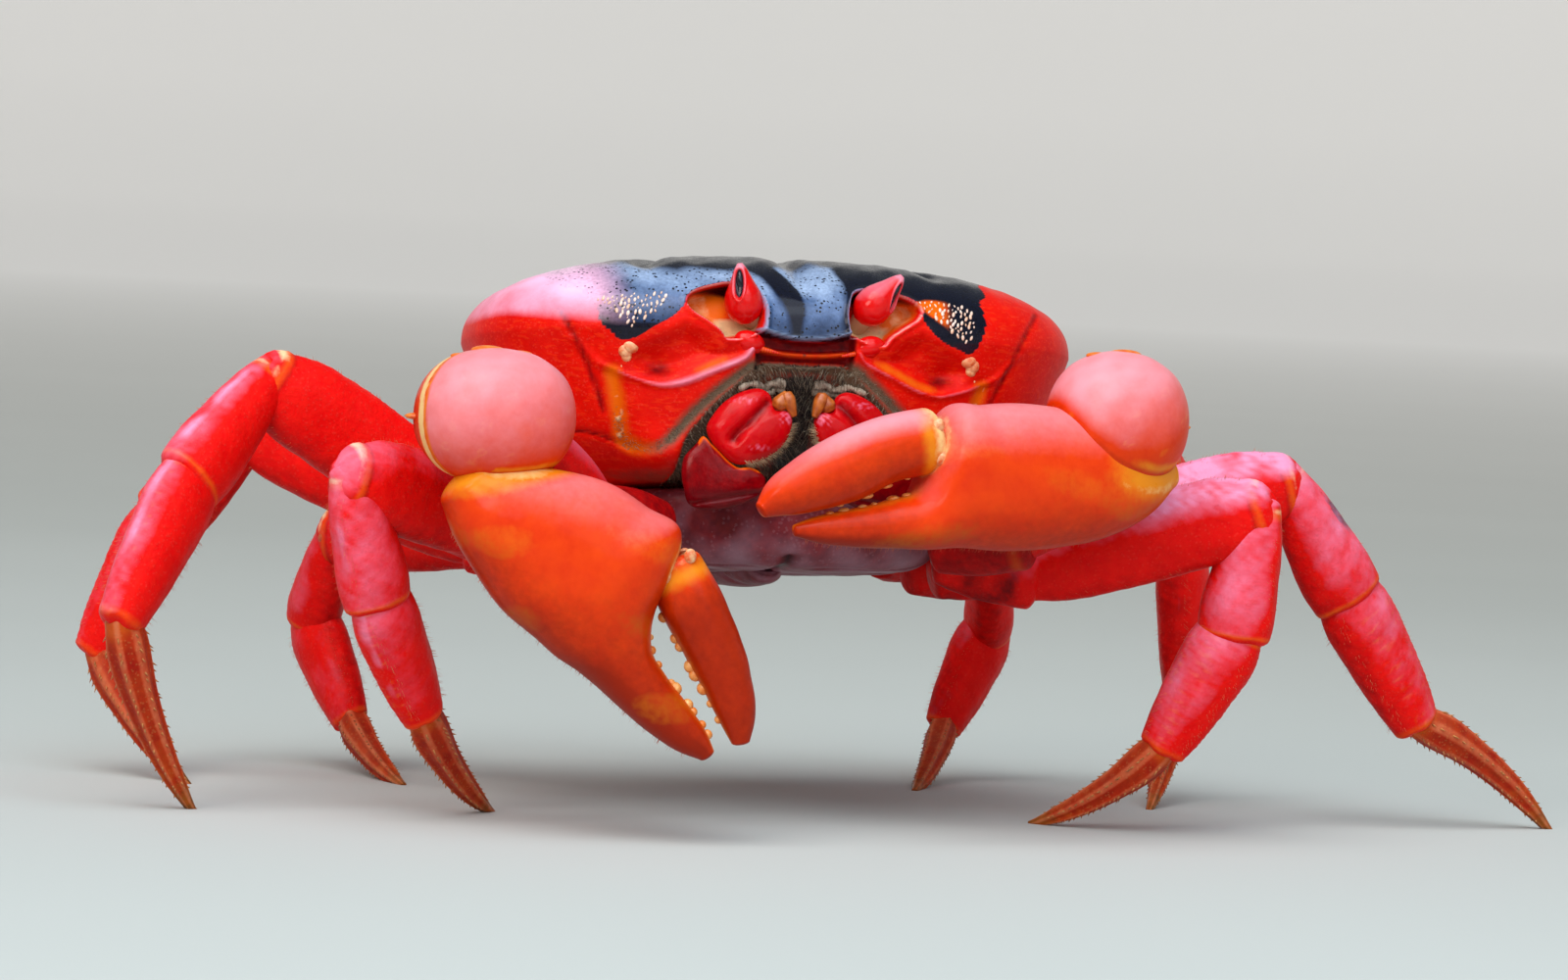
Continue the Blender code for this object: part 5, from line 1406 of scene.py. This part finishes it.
def build_claw(side):
    """one claw from the arm to the finger, then the teeth, knobs and short setae on it"""
    c, name, sign = CLAWS[side], "claw_" + side, 1 if side == "L" else -1
    origin, axis, up, across = claw_frame(c)
    build_arm(name, c)
    build_ball(name, c, sign)
    palm, palm_at = build_palm(name, c, sign)
    finger, finger_at = build_finger(name, c, sign)
    # low blunt tubercles of both biting edges
    teeth, axes = Skin(), np.stack([axis, across, up])[None]
    skip = DOME_RINGS + 1
    edges = ((palm, palm_at, TOP, c["palm_teeth"]), (finger, finger_at, -TOP, c["finger_teeth"]))
    for surf, at, angle, n in edges:
        where = np.linspace(*c["teeth"], n) + rng.normal(0, 0.35, n)
        rows = np.interp(where, at[skip:-skip, 0], np.arange(skip, len(at) - skip)).astype(int)
        col = round((angle % FULL_TURN) / FULL_TURN * surf.shape[1])
        size = rng.uniform(0.45, 1.0, n) * (0.7 + 0.4 * np.sin(np.linspace(0.4, 2.8, n)))
        teeth.knobs(surf[rows, col], np.stack([size * 1.1, size, size * c["tooth_height"]], 1), axes, 9, 12)
    make_piece(name + "_teeth", teeth, TOOTH)
    # the finger's two condyles on each face, and the knobs of the wrist
    first, hinge_up = c["finger"][0][:2]
    out = np.sign(-across[1]) * across
    hinge, knobs = Skin(), Skin()
    for lift, far, size in CONDYLES:
        centre = origin + axis * (first - 0.2) + up * (hinge_up + lift) + out * far
        hinge.knobs(centre, (size, size * 0.6, size * 1.2), rings=10, cols=14)
    make_piece(name + "_hinge_knobs", hinge, KNOB)
    for way, size in WRIST_KNOBS:
        centre = c["ball"] + unit(np.array(way) * (sign, 1, 1)) * c["radii"] * 0.97
        knobs.knobs(centre, (size * 1.5, size, size * 0.42), rings=9, cols=14)
    make_piece(name + "_wrist_knobs", knobs, ORANGE_KNOB)
    # short setae along the lower edge of the palm and fixed finger
    n = LOW_SETAE
    rows = np.sort(rng.integers(20, len(palm) - 12, n))
    cols = (round(0.75 * palm.shape[1]) + rng.integers(-1, 2, n)) % palm.shape[1]
    d = unit(axis * 0.5 - up + rng.normal(0, 0.2, (n, 3)))
    root = palm[rows, cols]
    setae = Skin().hairs(root - d * 0.1, root + d * rng.uniform(0.4, 0.9, (n, 1)), 0.035)
    make_piece(name + "_setae", setae, TAN)


# Stage
# the floor's rings: radius and height in metres
FLOOR_RINGS = ((0.5, 0.0), (4.0, 0.0), (20.0, 0.0), (30.0, 0.6), (40.0, 3.0), (48.0, 8.0), (52.0, 16.0),
               (53.0, 26.0))
SKY_BLUE, WARM = (0.72, 0.88, 1.0), (1.0, 0.96, 0.9)
# soft lamps: name, place, width, power and tint
LAMPS = (("sky_light", (-0.15, -0.5, 0.95), 1.2, 8.5, SKY_BLUE),
         ("front_panel", (0.12, -1.0, 0.66), 1.0, 4.2, SKY_BLUE),
         ("left_light", (-0.9, -0.9, 0.6), 0.45, 4.0, WARM))
SUN_POWER, SUN_WAY, SUN_WIDE = 1.45, (0.45, 0.5, -1.0), radians(40)
BACK_LIGHT, BACK_POWER = (0.86, 0.92, 0.95, 1), 0.2


def aim(ob, way):
    ob.rotation_euler = Vector(way).to_track_quat("-Z", "Y").to_euler()


def build_floor():
    """rings of corners about the origin, flat near the animal, that rise far away like a seamless wall"""
    me = bpy.data.meshes.new("floor")
    sides = 64
    verts = [(r * cos(q), r * sin(q), z) for r, z in FLOOR_RINGS for q in around(sides)]
    quads = ring_quads(len(FLOOR_RINGS), sides)[:, ::-1].tolist()
    me.from_pydata(verts, [], quads + [list(range(sides))])
    me.polygons.foreach_set("use_smooth", np.ones(len(me.polygons), bool))
    f = Finish("floor_pale")
    far = Value(f.tree, f.node("ShaderNodeVectorMath", {"operation": "LENGTH"}, i0=f.place).outputs["Value"])
    near = f.mix(colour(186, 188, 184), colour(194, 196, 192), f.noise(3.0, 2.0))
    f.put_shader(Base_Color=f.mix(near, (0.96, 0.96, 0.96, 1.0), (far * 0.25 - 0.2).clip()),
                 Roughness=0.9, Specular_IOR_Level=0.0)
    me.materials.append(f.mat)
    floor = bpy.data.objects.new("floor", me)
    link(floor)


def build_light():
    """two broad soft panels, a side light and a wide sun, with a weak even light all round"""
    for name, place, size, power, tint in LAMPS:
        data = bpy.data.lights.new(name, "AREA")
        data.shape, data.size, data.energy, data.color = "DISK", size, power, tint
        ob = bpy.data.objects.new(name, data)
        ob.location = place
        aim(ob, Vector((0, 0, 0.05)) - Vector(place))
        link(ob)
    sun = bpy.data.lights.new("sun", "SUN")
    sun.energy, sun.angle, sun.color = SUN_POWER, SUN_WIDE, WARM
    ob = bpy.data.objects.new("sun", sun)
    aim(ob, SUN_WAY)
    link(ob)
    world = bpy.data.worlds.new("studio")
    world.use_nodes = True
    back = world.node_tree.nodes["Background"]
    back.inputs["Color"].default_value = BACK_LIGHT
    back.inputs["Strength"].default_value = BACK_POWER
    bpy.context.scene.world = world
    bpy.context.scene.view_settings.view_transform = "Standard"


# the camera's direction and roll, its distance in millimetres, its focal length in pixels of the photo, the
# photo's size, the pixel of the place that it looks at, that place, and its sensor's width in millimetres
CAM_AZ, CAM_EL, CAM_ROLL = radians(-16), radians(2.8), radians(3)
CAM_FAR, CAM_FOCUS, PHOTO_WIDE, PHOTO_HIGH = 1000.0, 6150.0, 1600.0, 1000.0
CENTRE_X, CENTRE_Y = 766.92, 507.10
CAM_TARGET, SENSOR = (0, 0, 52.0), 36.0


def build_camera():
    """the photo's view: 16 degrees to the animal's right, almost level, rolled by 3 degrees"""
    target = CAM_TARGET + ORIGIN_MOVE
    back = np.array((sin(CAM_AZ) * cos(CAM_EL), -cos(CAM_AZ) * cos(CAM_EL), sin(CAM_EL)))
    right = unit(np.cross(-back, (0, 0, 1)))
    up = np.cross(right, -back)
    right, up = right * cos(CAM_ROLL) + up * sin(CAM_ROLL), up * cos(CAM_ROLL) - right * sin(CAM_ROLL)
    place = (target + back * CAM_FAR) * MM
    data = bpy.data.cameras.new("photo_camera")
    data.sensor_width = SENSOR
    data.lens = CAM_FOCUS * SENSOR / PHOTO_WIDE
    data.shift_x = (PHOTO_WIDE / 2 - CENTRE_X) / PHOTO_WIDE
    data.shift_y = (CENTRE_Y - PHOTO_HIGH / 2) / PHOTO_WIDE
    data.clip_start = 0.01
    ob = bpy.data.objects.new("photo_camera", data)
    ob.matrix_world = Matrix([(right[k], up[k], back[k], place[k]) for k in range(3)] + [(0, 0, 0, 1)])
    link(ob)
    bpy.context.scene.camera = ob


build_floor()
build_light()
build_camera()
build_carapace()
build_speckles()
build_eyes()
build_antennae()
build_maxillipeds()
build_mouth_hair()
build_mouth_beads()
build_mouth_fringe()
build_sternum()
build_pleon()
for leg_key in LEG_POSE:
    build_leg(leg_key)
for claw_side in CLAWS:
    build_claw(claw_side)
